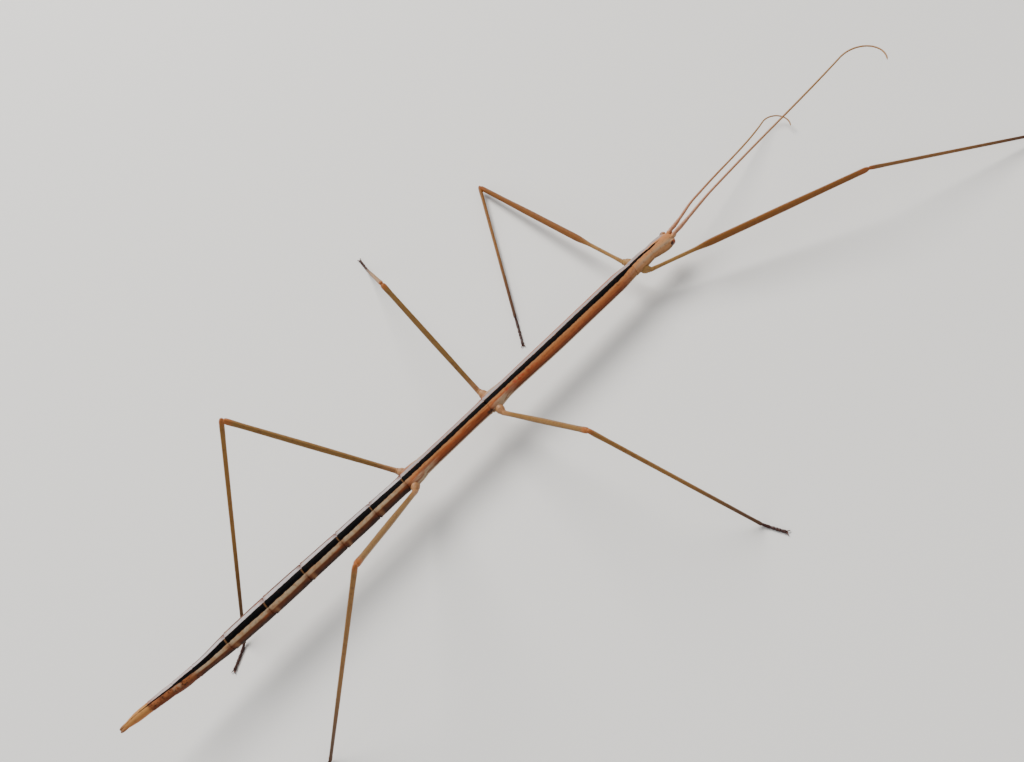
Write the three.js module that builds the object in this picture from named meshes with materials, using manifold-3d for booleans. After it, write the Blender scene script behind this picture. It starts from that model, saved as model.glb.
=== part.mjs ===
// A stick insect in a low walking stance, as one still model.
// Millimetres, +Z up, +X towards the head, +Y towards the insect's left.
// The body is a row of straight segments along one axis; each leg is a coxa,
// a femur, a tibia and a tarsus, and each antenna is three lengths of one curve.

import * as THREE from 'three';
import * as BufferGeometryUtils from 'three/addons/utils/BufferGeometryUtils.js';
import Module from 'manifold-3d';

const wasm = await Module();
wasm.setup();

// ---- Driving dimensions -----------------------------------------------------

const GAP = 0.12; // clear space between touching pieces
const RAD = Math.PI / 180;

// The body axis. A station is a distance back along it from the eyes.
const PIVOT_STATION = 45; // the station that stands over x = 0 before centring
const AXIS_HEIGHT = 6.9; // height of the axis above the ground at the pivot
const PITCH = -1.9 * RAD; // the head end is the lower one

// The axis bows gently: how far left and how far up it lies at some stations.
const BOW = [
  [-1, -0.22],
  [5, -0.08],
  [30, -0.5],
  [62, -0.9],
  [96, -0.9],
  [110, -0.55],
];
const LIFT = [
  [8, 0],
  [62, -0.55],
  [95, -0.5],
  [110, 0.75],
];

// Segments from front to back: name, length along the axis, colour.
const HEAD_START = -0.85; // the station of the front of the head
const SEGMENTS = [
  ['head', 5.15, 0xa9764c],
  ['prothorax', 4.1, 0xa8663c],
  ['mesothorax', 32.35, 0xb0552e],
  ['metathorax', 17.15, 0xa85a33],
  ['abdomen_2', 6.2, 0x6b4535],
  ['abdomen_3', 6.5, 0x6b4535],
  ['abdomen_4', 6.8, 0x6b4535],
  ['abdomen_5', 7.0, 0x6b4535],
  ['abdomen_6', 7.4, 0x6b4535],
  ['abdomen_7', 6.1, 0x6f4a36],
  ['abdomen_8', 3.4, 0x85583a],
  ['abdomen_9', 4.1, 0x95673f],
  ['abdomen_10', 4.5, 0xa67a52],
];

// Half-width of the trunk at chosen stations, eased between them.
const TRUNK_WIDTHS = [
  [4.3, 1.26],
  [6.2, 1.38],
  [8.4, 1.32],
  [12, 1.54],
  [24, 1.52],
  [40, 1.38],
  [58, 1.42],
  [68, 1.58],
  [84, 1.7],
  [90, 1.6],
  [97.6, 1.12],
  [102, 0.94],
  [107, 0.78],
  [109.9, 0.42],
];
const TRUNK_DEPTH_RATIO = 0.92; // height of the trunk over its width
const COXA_FLARE = 0.4; // extra half-width where the middle and hind legs join
const COXA_FLARE_SPREAD = 1.7;
const COXA_FLARE_AHEAD = 0.7; // the flare is widest this far ahead of the hip

const HEAD_SECTIONS = [
  // station, half-width, half-height, centre height
  [-0.83, 0.38, 0.42, -0.62],
  [-0.6, 0.72, 0.78, -0.58],
  [-0.1, 1.08, 1.14, -0.5],
  [0.5, 1.34, 1.32, -0.42],
  [1.2, 1.46, 1.38, -0.36],
  [2.0, 1.46, 1.34, -0.26],
  [3.0, 1.38, 1.26, -0.12],
  [4.24, 1.2, 1.1, 0],
];
const EYE = { station: 0.3, side: 1.2, up: -0.02, radius: 0.55 };

const SUBGENITAL_PLATE = { start: 97.4, end: 103.6, halfWidth: 0.5, thickness: 0.66, drop: 0.4 };
const CERCUS = { station: 108.9, side: 0.36, inward: 0.08, length: 1.45, radius: 0.25 };

// Leg sizes by pair. A pair's two legs are alike.
const LEG_PAIRS = {
  front: {
    hip: [7.6, 1.3, -0.9],
    femur: 37.8,
    tibia: 30.5,
    tarsus: 6.0,
    femurRadii: [0.36, 0.34, 0.66, 0.62, 0.52, 0.5],
    tibiaRadii: [0.34, 0.3, 0.27],
  },
  middle: {
    hip: [40.0, 1.7, -0.9],
    femur: 24.2,
    tibia: 29.1,
    tarsus: 3.8,
    femurRadii: [0.42, 0.44, 0.48, 0.48, 0.46, 0.48],
    tibiaRadii: [0.35, 0.31, 0.28],
  },
  hind: {
    hip: [57.0, 1.7, -0.9],
    femur: 28.3,
    tibia: 37.0,
    tarsus: 4.6,
    femurRadii: [0.42, 0.46, 0.5, 0.5, 0.48, 0.5],
    tibiaRadii: [0.37, 0.33, 0.28],
  },
};

// Pose of each leg: femur azimuth and rise, and tibia azimuth, in degrees.
// An azimuth is turned from straight ahead towards the leg's own side.
const LEG_POSES = {
  front_left: [95.5, -5.4, 241.5],
  front_right: [25.4, 6.1, 26.1],
  middle_left: [89.4, 36.3, 84],
  middle_right: [75.5, 35.5, 63.7],
  hind_left: [131.2, 45.4, 212],
  hind_right: [125.8, 51.7, 168.1],
};

const ANKLE_HEIGHT = 0.55; // the end of each tibia above the ground
const TARSUS_RADIUS = 0.27;
const TARSUS_SINK = 0.05; // how far the round foot is cut flat
const COXA_RADII = [0.55, 0.76, 0.7, 0.56, 0.434]; // from the body to the femur
const COXA_REACH = 1.1; // the femur starts this far beyond the hip
const COXA_ROOT = { ahead: 0.5, inset: 0.72, up: -0.8 }; // where a coxa starts in the body
const KNEE_SETBACK = 0.5; // the femur ends this far before the knee

// Each antenna's heading: azimuth and rise at the base, how they drift along
// it, and how they turn in the curl at the tip.
const ANTENNAE = {
  right: {
    azimuth: -6.3,
    rise: 17.5,
    drift: 2.5,
    sag: -1.3,
    curl: -135,
    dip: -17,
    length: 45.2,
    curlStart: 0.8,
    arch: [0.35, 0.25],
  },
  left: {
    azimuth: 6.6,
    rise: -6.3,
    drift: 11.5,
    sag: -3.1,
    curl: -155,
    dip: 8,
    length: 36,
    curlStart: 0.82,
    arch: [0.5, 0.6],
  },
};
// Each curve arches, left and up by its own amount, and stands higher at its
// base; both fade out along it.
const ANTENNA_ARCH = [
  [0, 0],
  [0.2, 1],
  [0.28, 1],
  [0.8, 0],
];
const ANTENNA_SEAT = [
  [0.1, 0.3],
  [0.8, 0],
];
const ANTENNA_BASE = { station: -1.02, side: 0.47, up: 0.3 };
const ANTENNA_RADII = [0.34, 0.26, 0.25]; // base, middle and tip
const ANTENNA_CUTS = [0, 0.14, 0.58, 1]; // where its three lengths meet
const ANTENNA_NAMES = ['base', 'middle', 'tip'];

// ---- Placing points ----------------------------------------------------------

const BODY_UP = new THREE.Vector3(-Math.sin(PITCH), 0, Math.cos(PITCH));
const WORLD_UP = new THREE.Vector3(0, 0, 1);
const LEFT = new THREE.Vector3(0, 1, 0);

// A unit vector with this azimuth and rise, on the left (side 1) or right (-1).
function heading(azimuth, rise, side) {
  return new THREE.Vector3(
    Math.cos(rise) * Math.cos(azimuth),
    side * Math.cos(rise) * Math.sin(azimuth),
    Math.sin(rise),
  );
}

function ease(t) {
  return t * t * (3 - 2 * t);
}

// The value at x of a list of [x, value] pairs, eased between neighbours.
function eased(pairs, x) {
  if (x <= pairs[0][0]) return pairs[0][1];
  for (let i = 1; i < pairs.length; i += 1) {
    const [x0, v0] = pairs[i - 1];
    const [x1, v1] = pairs[i];
    if (x <= x1) return v0 + (v1 - v0) * ease((x - x0) / (x1 - x0));
  }
  return pairs[pairs.length - 1][1];
}

// A point of the body, given its station and how far left and up of the bowed
// axis it lies.
function bodyPoint(station, left, up) {
  const along = PIVOT_STATION - station;
  const rise = up + eased(LIFT, station);
  return new THREE.Vector3(
    along * Math.cos(PITCH) - rise * Math.sin(PITCH),
    left + eased(BOW, station),
    AXIS_HEIGHT + along * Math.sin(PITCH) + rise * Math.cos(PITCH),
  );
}

// The value at t, from 0 to 1, of values spaced evenly.
function evenly(values, t) {
  const pairs = values.map((value, i) => [i / (values.length - 1), value]);
  return eased(pairs, t);
}

// ---- Closed lofts ------------------------------------------------------------

// A closed skin through rings. Each ring has a centre, a side and an up vector
// and a half-width and half-height; the ends are capped flat.
function loft(rings, sides) {
  const positions = [];
  const faces = [];
  for (const ring of rings) {
    for (let i = 0; i < sides; i += 1) {
      const turn = ((i + 0.5) / sides) * 2 * Math.PI;
      const point = ring.centre.clone();
      point.addScaledVector(ring.side, ring.halfWidth * Math.cos(turn));
      point.addScaledVector(ring.up, ring.halfHeight * Math.sin(turn));
      if (ring.floor !== undefined) point.z = Math.max(point.z, ring.floor);
      positions.push(point.x, point.y, point.z);
    }
  }
  for (let r = 0; r + 1 < rings.length; r += 1) {
    for (let i = 0; i < sides; i += 1) {
      const a = r * sides + i;
      const b = r * sides + ((i + 1) % sides);
      faces.push(a, b, b + sides, a, b + sides, a + sides);
    }
  }
  const last = (rings.length - 1) * sides;
  for (let i = 1; i + 1 < sides; i += 1) {
    faces.push(0, i + 1, i);
    faces.push(last, last + i, last + i + 1);
  }
  const geometry = new THREE.BufferGeometry();
  geometry.setAttribute('position', new THREE.Float32BufferAttribute(positions, 3));
  geometry.setIndex(faces);
  return geometry;
}

// Rings square to a path, with radii from radiusAt(t) and "up" near a guide.
function pathRings(points, radiusAt, guide, floor) {
  return points.map((centre, i) => {
    const before = points[Math.max(i - 1, 0)];
    const after = points[Math.min(i + 1, points.length - 1)];
    const tangent = after.clone().sub(before).normalize();
    const side = guide.clone().cross(tangent).normalize();
    const up = tangent.clone().cross(side);
    const radius = radiusAt(i / (points.length - 1));
    return { centre, side, up, halfWidth: radius, halfHeight: radius, floor };
  });
}

// ---- Cutting one piece clear of another ---------------------------------------

function toSolid(geometry) {
  const merged = BufferGeometryUtils.mergeVertices(geometry);
  return new wasm.Manifold(
    new wasm.Mesh({
      numProp: 3,
      vertProperties: Float32Array.from(merged.attributes.position.array),
      triVerts: Uint32Array.from(merged.index.array),
    }),
  );
}

function toGeometry(solid) {
  const mesh = solid.getMesh();
  const geometry = new THREE.BufferGeometry();
  geometry.setAttribute('position', new THREE.Float32BufferAttribute(mesh.vertProperties, 3));
  geometry.setIndex(Array.from(mesh.triVerts));
  return geometry;
}

function cut(geometry, ...cutters) {
  const solid = cutters.reduce((left, cutter) => left.subtract(toSolid(cutter)), toSolid(geometry));
  return toGeometry(solid);
}

// ---- Trunk --------------------------------------------------------------------

function coxaFlare(station) {
  const bump = (pair) => Math.exp(-(((station - pair.hip[0] + COXA_FLARE_AHEAD) / COXA_FLARE_SPREAD) ** 2));
  return COXA_FLARE * (bump(LEG_PAIRS.middle) + bump(LEG_PAIRS.hind));
}

function trunkRing(station, swell) {
  const halfWidth = eased(TRUNK_WIDTHS, station);
  return {
    centre: bodyPoint(station, 0, 0),
    side: LEFT,
    up: BODY_UP,
    halfWidth: halfWidth + coxaFlare(station) + swell,
    halfHeight: halfWidth * TRUNK_DEPTH_RATIO + swell,
  };
}

// A stretch of trunk from one station to another, swollen by a margin.
function trunk(start, end, swell = 0) {
  const steps = Math.max(4, Math.round((end - start) / 2.2));
  const rings = [];
  for (let i = 0; i <= steps; i += 1) {
    const station = end + (start - end) * (i / steps);
    rings.push(trunkRing(station, swell));
  }
  return loft(rings, 14);
}

function headBlock() {
  const rings = HEAD_SECTIONS.toReversed().map(([station, halfWidth, halfHeight, lift]) => ({
    centre: bodyPoint(station, 0, lift),
    side: LEFT,
    up: BODY_UP,
    halfWidth,
    halfHeight,
  }));
  return loft(rings, 16);
}

function eyeBall(side, swell) {
  const ball = new THREE.SphereGeometry(EYE.radius + swell, 14, 10);
  ball.deleteAttribute('normal');
  ball.deleteAttribute('uv');
  const centre = bodyPoint(EYE.station, side * EYE.side, EYE.up);
  ball.translate(centre.x, centre.y, centre.z);
  return ball;
}

// The boat-shaped plate under the end of the abdomen.
function subgenitalPlate() {
  const { start, end, halfWidth, thickness, drop } = SUBGENITAL_PLATE;
  const rings = [];
  for (let i = 0; i <= 6; i += 1) {
    const t = i / 6;
    const station = end + (start - end) * t;
    const fullness = Math.sin(Math.PI * (0.2 + 0.7 * t));
    rings.push({
      centre: bodyPoint(station, 0, -eased(TRUNK_WIDTHS, station) * TRUNK_DEPTH_RATIO - drop * fullness),
      side: LEFT,
      up: BODY_UP,
      halfWidth: halfWidth * (0.4 + 0.6 * fullness),
      halfHeight: thickness * 0.5 * (0.5 + 0.5 * fullness),
    });
  }
  return loft(rings, 10);
}

function cercus(side, swell) {
  const start = bodyPoint(CERCUS.station, side * CERCUS.side, 0.05);
  const end = bodyPoint(CERCUS.station + CERCUS.length, side * (CERCUS.side - CERCUS.inward), 0);
  const points = [0, 0.35, 0.75, 1].map((t) => start.clone().lerp(end, t));
  const radiusAt = (t) => CERCUS.radius * (1 - 0.45 * t ** 3) + swell;
  return loft(pathRings(points, radiusAt, BODY_UP), 8);
}

// ---- Legs -----------------------------------------------------------------------

// The joints of one leg in space: hip, knee, ankle and toe.
function legJoints(pair, side, [femurAzimuth, femurRise, tibiaAzimuth]) {
  const [station, out, up] = pair.hip;
  const hip = bodyPoint(station, side * out, up);
  const femurWay = heading(femurAzimuth * RAD, femurRise * RAD, side);
  const knee = hip.clone().addScaledVector(femurWay, pair.femur);
  const tibiaFall = Math.asin((knee.z - ANKLE_HEIGHT) / pair.tibia);
  const tibiaWay = heading(tibiaAzimuth * RAD, -tibiaFall, side);
  const ankle = knee.clone().addScaledVector(tibiaWay, pair.tibia);
  const tarsusWay = heading(tibiaAzimuth * RAD, 0, side);
  return { hip, femurWay, knee, tibiaWay, ankle, tarsusWay };
}

function straightTube(start, way, length, radiusAt, guide, steps, sides) {
  const points = [];
  for (let i = 0; i <= steps; i += 1) {
    points.push(start.clone().addScaledVector(way, (length * i) / steps));
  }
  return loft(pathRings(points, radiusAt, guide), sides);
}

function coxa(joints, side, pair) {
  const [station, out] = pair.hip;
  const root = bodyPoint(station - COXA_ROOT.ahead, side * out * COXA_ROOT.inset, COXA_ROOT.up);
  const end = joints.hip.clone().addScaledVector(joints.femurWay, COXA_REACH - GAP);
  const points = [0, 0.3, 0.6, 0.85, 1].map((t) => root.clone().lerp(end, t));
  const radiusAt = (t) => evenly(COXA_RADII, t);
  return loft(pathRings(points, radiusAt, WORLD_UP), 10);
}

function femur(joints, pair) {
  const start = joints.hip.clone().addScaledVector(joints.femurWay, COXA_REACH);
  const length = pair.femur - COXA_REACH - KNEE_SETBACK;
  const radiusAt = (t) => evenly(pair.femurRadii, t);
  return straightTube(start, joints.femurWay, length, radiusAt, WORLD_UP, 12, 8);
}

function tibia(joints, pair, swell) {
  const start = joints.knee.clone().addScaledVector(joints.tibiaWay, -0.1 - swell);
  const length = pair.tibia + 0.1 + swell;
  const radiusAt = (t) => evenly(pair.tibiaRadii, t) + swell;
  return straightTube(start, joints.tibiaWay, length, radiusAt, joints.tarsusWay, 10, 8);
}

// The foot lies along the ground, cut flat beneath, with a wider end.
function tarsus(joints, pair) {
  const ground = TARSUS_RADIUS - TARSUS_SINK;
  const reach = [-0.1, 0.5, 1.1, 2.2, pair.tarsus - 0.9, pair.tarsus - 0.45, pair.tarsus];
  const points = reach.map((along) => {
    const settled = ease(Math.min(Math.max(along / 1.1, 0), 1));
    const point = joints.ankle.clone().addScaledVector(joints.tarsusWay, along);
    point.z = ANKLE_HEIGHT + (ground - ANKLE_HEIGHT) * settled;
    return point;
  });
  const radii = [0.26, 0.27, 0.27, 0.26, 0.26, 0.34, 0.24];
  const rings = pathRings(points, (t) => radii[Math.round(t * (radii.length - 1))], WORLD_UP, 0);
  return loft(rings, 8);
}

// ---- Antennae -------------------------------------------------------------------

const ANTENNA_STEPS = 60;

// The whole curve of one antenna, as evenly spaced points.
function antennaPath(side, antenna) {
  const base = bodyPoint(ANTENNA_BASE.station, side * ANTENNA_BASE.side, ANTENNA_BASE.up);
  const points = [base];
  for (let i = 0; i < ANTENNA_STEPS; i += 1) {
    const t = (i + 0.5) / ANTENNA_STEPS;
    const curled = Math.max(0, (t - antenna.curlStart) / (1 - antenna.curlStart));
    const azimuth = antenna.azimuth + antenna.drift * t + antenna.curl * curled;
    const rise = antenna.rise + antenna.sag * t + antenna.dip * curled;
    const step = heading(azimuth * RAD, rise * RAD, 1);
    points.push(points[i].clone().addScaledVector(step, antenna.length / ANTENNA_STEPS));
  }
  const [leftward, upward] = antenna.arch;
  return points.map((point, i) => {
    const t = i / ANTENNA_STEPS;
    const arched = point.clone().addScaledVector(LEFT, leftward * eased(ANTENNA_ARCH, t));
    return arched.addScaledVector(BODY_UP, upward * eased(ANTENNA_ARCH, t) + eased(ANTENNA_SEAT, t));
  });
}

// One length of the curve, from one fraction of it to another.
function antennaLength(points, from, to, radiusFrom, radiusTo) {
  const first = Math.round(from * ANTENNA_STEPS);
  const last = Math.round(to * ANTENNA_STEPS);
  const stretch = points.slice(first, last + 1).filter((_, i, all) => i % 2 === 0 || i === all.length - 1);
  if (from > 0) {
    const way = stretch[1].clone().sub(stretch[0]).normalize();
    stretch[0] = stretch[0].clone().addScaledVector(way, GAP);
  }
  const radiusAt = (t) => radiusFrom + (radiusTo - radiusFrom) * t;
  return loft(pathRings(stretch, radiusAt, WORLD_UP), 8);
}

// ---- Assembly -------------------------------------------------------------------

const insect = new THREE.Group();
insect.name = 'stick_insect';

function add(name, geometry, color, roughness = 0.5) {
  const material = new THREE.MeshStandardMaterial({ color, roughness, metalness: 0 });
  const mesh = new THREE.Mesh(geometry, material);
  mesh.name = name;
  insect.add(mesh);
}

let station = HEAD_START;
for (const [name, length, color] of SEGMENTS) {
  const start = station;
  station += length;
  if (name === 'head') {
    add(name, cut(headBlock(), eyeBall(1, GAP / 2), eyeBall(-1, GAP / 2)), color);
  } else if (name === 'abdomen_10') {
    add(name, cut(trunk(start + GAP / 2, station), cercus(1, GAP), cercus(-1, GAP)), color);
  } else {
    add(name, trunk(start + GAP / 2, station - GAP / 2), color);
  }
}

const wholeTrunk = trunk(2, station, GAP);
add('subgenital_plate', cut(subgenitalPlate(), wholeTrunk), 0x7b5238);
for (const [sideName, side] of [['left', 1], ['right', -1]]) {
  add(`eye_${sideName}`, eyeBall(side, 0), 0x4a3324, 0.2);
  add(`cercus_${sideName}`, cercus(side, 0), 0x8a5c3a);

  const path = antennaPath(side, ANTENNAE[sideName]);
  ANTENNA_NAMES.forEach((part, i) => {
    const from = ANTENNA_CUTS[i];
    const to = ANTENNA_CUTS[i + 1];
    const radiusTo = ANTENNA_RADII[Math.min(i + 1, 2)];
    add(`antenna_${sideName}_${part}`, antennaLength(path, from, to, ANTENNA_RADII[i], radiusTo), 0xb58a5c);
  });

  for (const [pairName, pair] of Object.entries(LEG_PAIRS)) {
    const leg = `${pairName}_${sideName}`;
    const joints = legJoints(pair, side, LEG_POSES[leg]);
    add(`coxa_${leg}`, cut(coxa(joints, side, pair), wholeTrunk), 0x9c6136);
    add(`femur_${leg}`, cut(femur(joints, pair), tibia(joints, pair, GAP)), 0xa9703a);
    add(`tibia_${leg}`, tibia(joints, pair, 0), 0xa5793c);
    add(`tarsus_${leg}`, cut(tarsus(joints, pair), tibia(joints, pair, GAP)), 0x5e2f22);
  }
}

// The origin is the centre of the model's bounding box, on the ground.
const bounds = new THREE.Box3().setFromObject(insect);
const centre = bounds.getCenter(new THREE.Vector3());
insect.position.set(-centre.x, -centre.y, -bounds.min.z);

export default insect;
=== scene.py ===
"""The looks of a slender, wingless stick insect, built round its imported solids.

One skin covers the trunk, head, legs and antennae. The eyes, the claws and the
hard mouthparts are pieces of their own. Sizes are millimetres, and a mesh is
brought to metres when it is put in its place.
"""

from __future__ import annotations

import logging
import math
from dataclasses import dataclass, field
from enum import Enum
from typing import Sequence

import bmesh
import bpy
import numpy as np
from mathutils import Matrix, Vector

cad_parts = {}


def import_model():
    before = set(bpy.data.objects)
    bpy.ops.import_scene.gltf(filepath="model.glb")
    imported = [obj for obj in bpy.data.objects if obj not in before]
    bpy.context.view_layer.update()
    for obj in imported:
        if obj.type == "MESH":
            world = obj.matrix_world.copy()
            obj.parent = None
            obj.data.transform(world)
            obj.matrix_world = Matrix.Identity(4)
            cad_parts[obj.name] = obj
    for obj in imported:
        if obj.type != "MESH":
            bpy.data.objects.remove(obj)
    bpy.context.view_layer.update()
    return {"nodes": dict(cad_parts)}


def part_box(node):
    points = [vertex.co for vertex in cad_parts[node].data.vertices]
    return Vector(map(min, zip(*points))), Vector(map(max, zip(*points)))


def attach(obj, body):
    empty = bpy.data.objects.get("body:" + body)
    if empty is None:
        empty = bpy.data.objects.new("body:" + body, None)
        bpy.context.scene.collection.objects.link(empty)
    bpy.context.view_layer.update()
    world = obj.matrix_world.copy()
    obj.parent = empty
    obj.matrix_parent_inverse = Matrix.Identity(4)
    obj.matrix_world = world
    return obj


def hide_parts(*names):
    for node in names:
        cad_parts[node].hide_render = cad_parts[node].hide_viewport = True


LOG = logging.getLogger("stick_insect")
MM = 0.001
MERGE_GAP = 0.0005
SKIN_CREASE_DEG = 40
HORN_CREASE_DEG = 50
EYE_CREASE_DEG = 80
ALONG = "along"
ASIDE = "aside"
RISE = "rise"
STATION = "station"
LEFTWARD = Vector((0, 1, 0))
UPWARD = Vector((0, 0, 1))
Colour = tuple[float, float, float, float]


class Side(Enum):
    """The insect's own left and right, as the sign of +Y."""

    LEFT = 1
    RIGHT = -1

    @property
    def word(self) -> str:
        """The side's name as node names spell it."""
        return self.name.lower()


class Pair(Enum):
    """The three pairs of legs."""

    FRONT = "front"
    MIDDLE = "middle"
    HIND = "hind"


# ---- Small sums ---------------------------------------------------------------


def ease(t: float) -> float:
    """A smooth step from 0 to 1."""
    t = min(max(t, 0.0), 1.0)
    return t * t * (3 - 2 * t)


def bump(x: float, centre: float, spread: float) -> float:
    """A bell of height 1 round a centre."""
    return math.exp(-(((x - centre) / spread) ** 2))


def dome(past: float, least: float, depth: float = 1.0, power: int = 2) -> float:
    """Rounds off the end of a length.

    Args:
        past: How far into the rounded end, from 0 at its start to 1 at its tip.
        least: The lowest square of the factor, so that no end closes to a point.
        depth: How much of the square is lost by the tip.
        power: A higher power keeps the radius longer and closes more bluntly.

    Returns:
        What the radius there is multiplied by.
    """
    return math.sqrt(max(least, 1 - max(0.0, past) ** power * depth))


def eased(pairs: Sequence[tuple[float, float]], x: float) -> float:
    """Reads an outline given at a few places, eased between them.

    Args:
        pairs: Places and values, by rising place.
        x: The place to read.

    Returns:
        The value there.
    """
    if not pairs:
        return 0.0
    if x <= pairs[0][0]:
        return pairs[0][1]
    for (x0, v0), (x1, v1) in zip(pairs, pairs[1:]):
        if x <= x1:
            return v0 + (v1 - v0) * ease((x - x0) / (x1 - x0))
    return pairs[-1][1]


def heading(azimuth: float, rise: float, side: int) -> Vector:
    """A unit vector, turned from straight ahead towards one side and lifted.

    Args:
        azimuth: Turn from +X, in degrees.
        rise: Angle above the ground, in degrees.
        side: 1 turns towards +Y and -1 towards -Y.

    Returns:
        The unit vector.
    """
    a, e = math.radians(azimuth), math.radians(rise)
    return Vector((math.cos(e) * math.cos(a), side * math.cos(e) * math.sin(a), math.sin(e)))


@dataclass(frozen=True)
class BodyAxis:
    """The gently bowed axis of head, thorax and abdomen, in millimetres.

    A station is a distance back along the axis from the eyes.
    """

    shift: Vector
    pivot_station: float = 45.0
    height: float = 6.9
    pitch_deg: float = -1.9
    bow: tuple[tuple[float, float], ...] = (
        (-1, -0.22), (5, -0.08), (30, -0.5), (62, -0.9), (96, -0.9), (110, -0.55),
    )
    lift: tuple[tuple[float, float], ...] = ((8, 0.0), (62, -0.55), (95, -0.5), (110, 0.75))

    @property
    def forward(self) -> Vector:
        """The way the head points."""
        pitch = math.radians(self.pitch_deg)
        return Vector((math.cos(pitch), 0, math.sin(pitch)))

    @property
    def up(self) -> Vector:
        """The way the back faces."""
        pitch = math.radians(self.pitch_deg)
        return Vector((-math.sin(pitch), 0, math.cos(pitch)))

    @property
    def origin(self) -> Vector:
        """Where station 0 of the axis would be if it were straight."""
        return self.shift + Vector((0, 0, self.height)) + self.forward * self.pivot_station

    def point(self, station: float, left: float = 0.0, up: float = 0.0) -> Vector:
        """A place on the body.

        Args:
            station: Distance back from the eyes.
            left: Distance to the insect's left of the bowed axis.
            up: Distance above the bowed axis.

        Returns:
            The place in the shared frame, in millimetres.
        """
        sideways = left + eased(self.bow, station)
        rise = up + eased(self.lift, station)
        return self.origin - self.forward * station + Vector((0, sideways, 0)) + self.up * rise

    def seat(self, piece: bpy.types.Object, station: float, left: float, up: float) -> None:
        """Places a piece whose local X is left, Y up and Z ahead."""
        Workbench.place(piece, LEFTWARD, self.up, self.forward, self.point(station, left, up))

    def mark(self, piece: bpy.types.Object, sag: Sequence[tuple[float, float]]) -> None:
        """Stores each corner's station, and how far right of and above the middle it lies.

        Args:
            piece: A finished piece, in metres.
            sag: How far the middle lies above the axis, by station.
        """
        rows = []
        for corner in piece.data.vertices:
            place = corner.co / MM - self.origin
            station = -place.dot(self.forward)
            rise = place.dot(self.up) - eased(self.lift, station) - eased(sag, station)
            rows.append((station, eased(self.bow, station) - place.y, rise))
        for name, values in zip((STATION, ASIDE, RISE), zip(*rows)):
            piece.data.attributes.new(name, "FLOAT", "POINT").data.foreach_set("value", values)


# ---- The workbench ------------------------------------------------------------


@dataclass(frozen=True)
class Ring:
    """One cross-section of a swept length."""

    along: float
    half_width: float
    half_height: float
    lift: float = 0.0
    aside: float = 0.0


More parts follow.
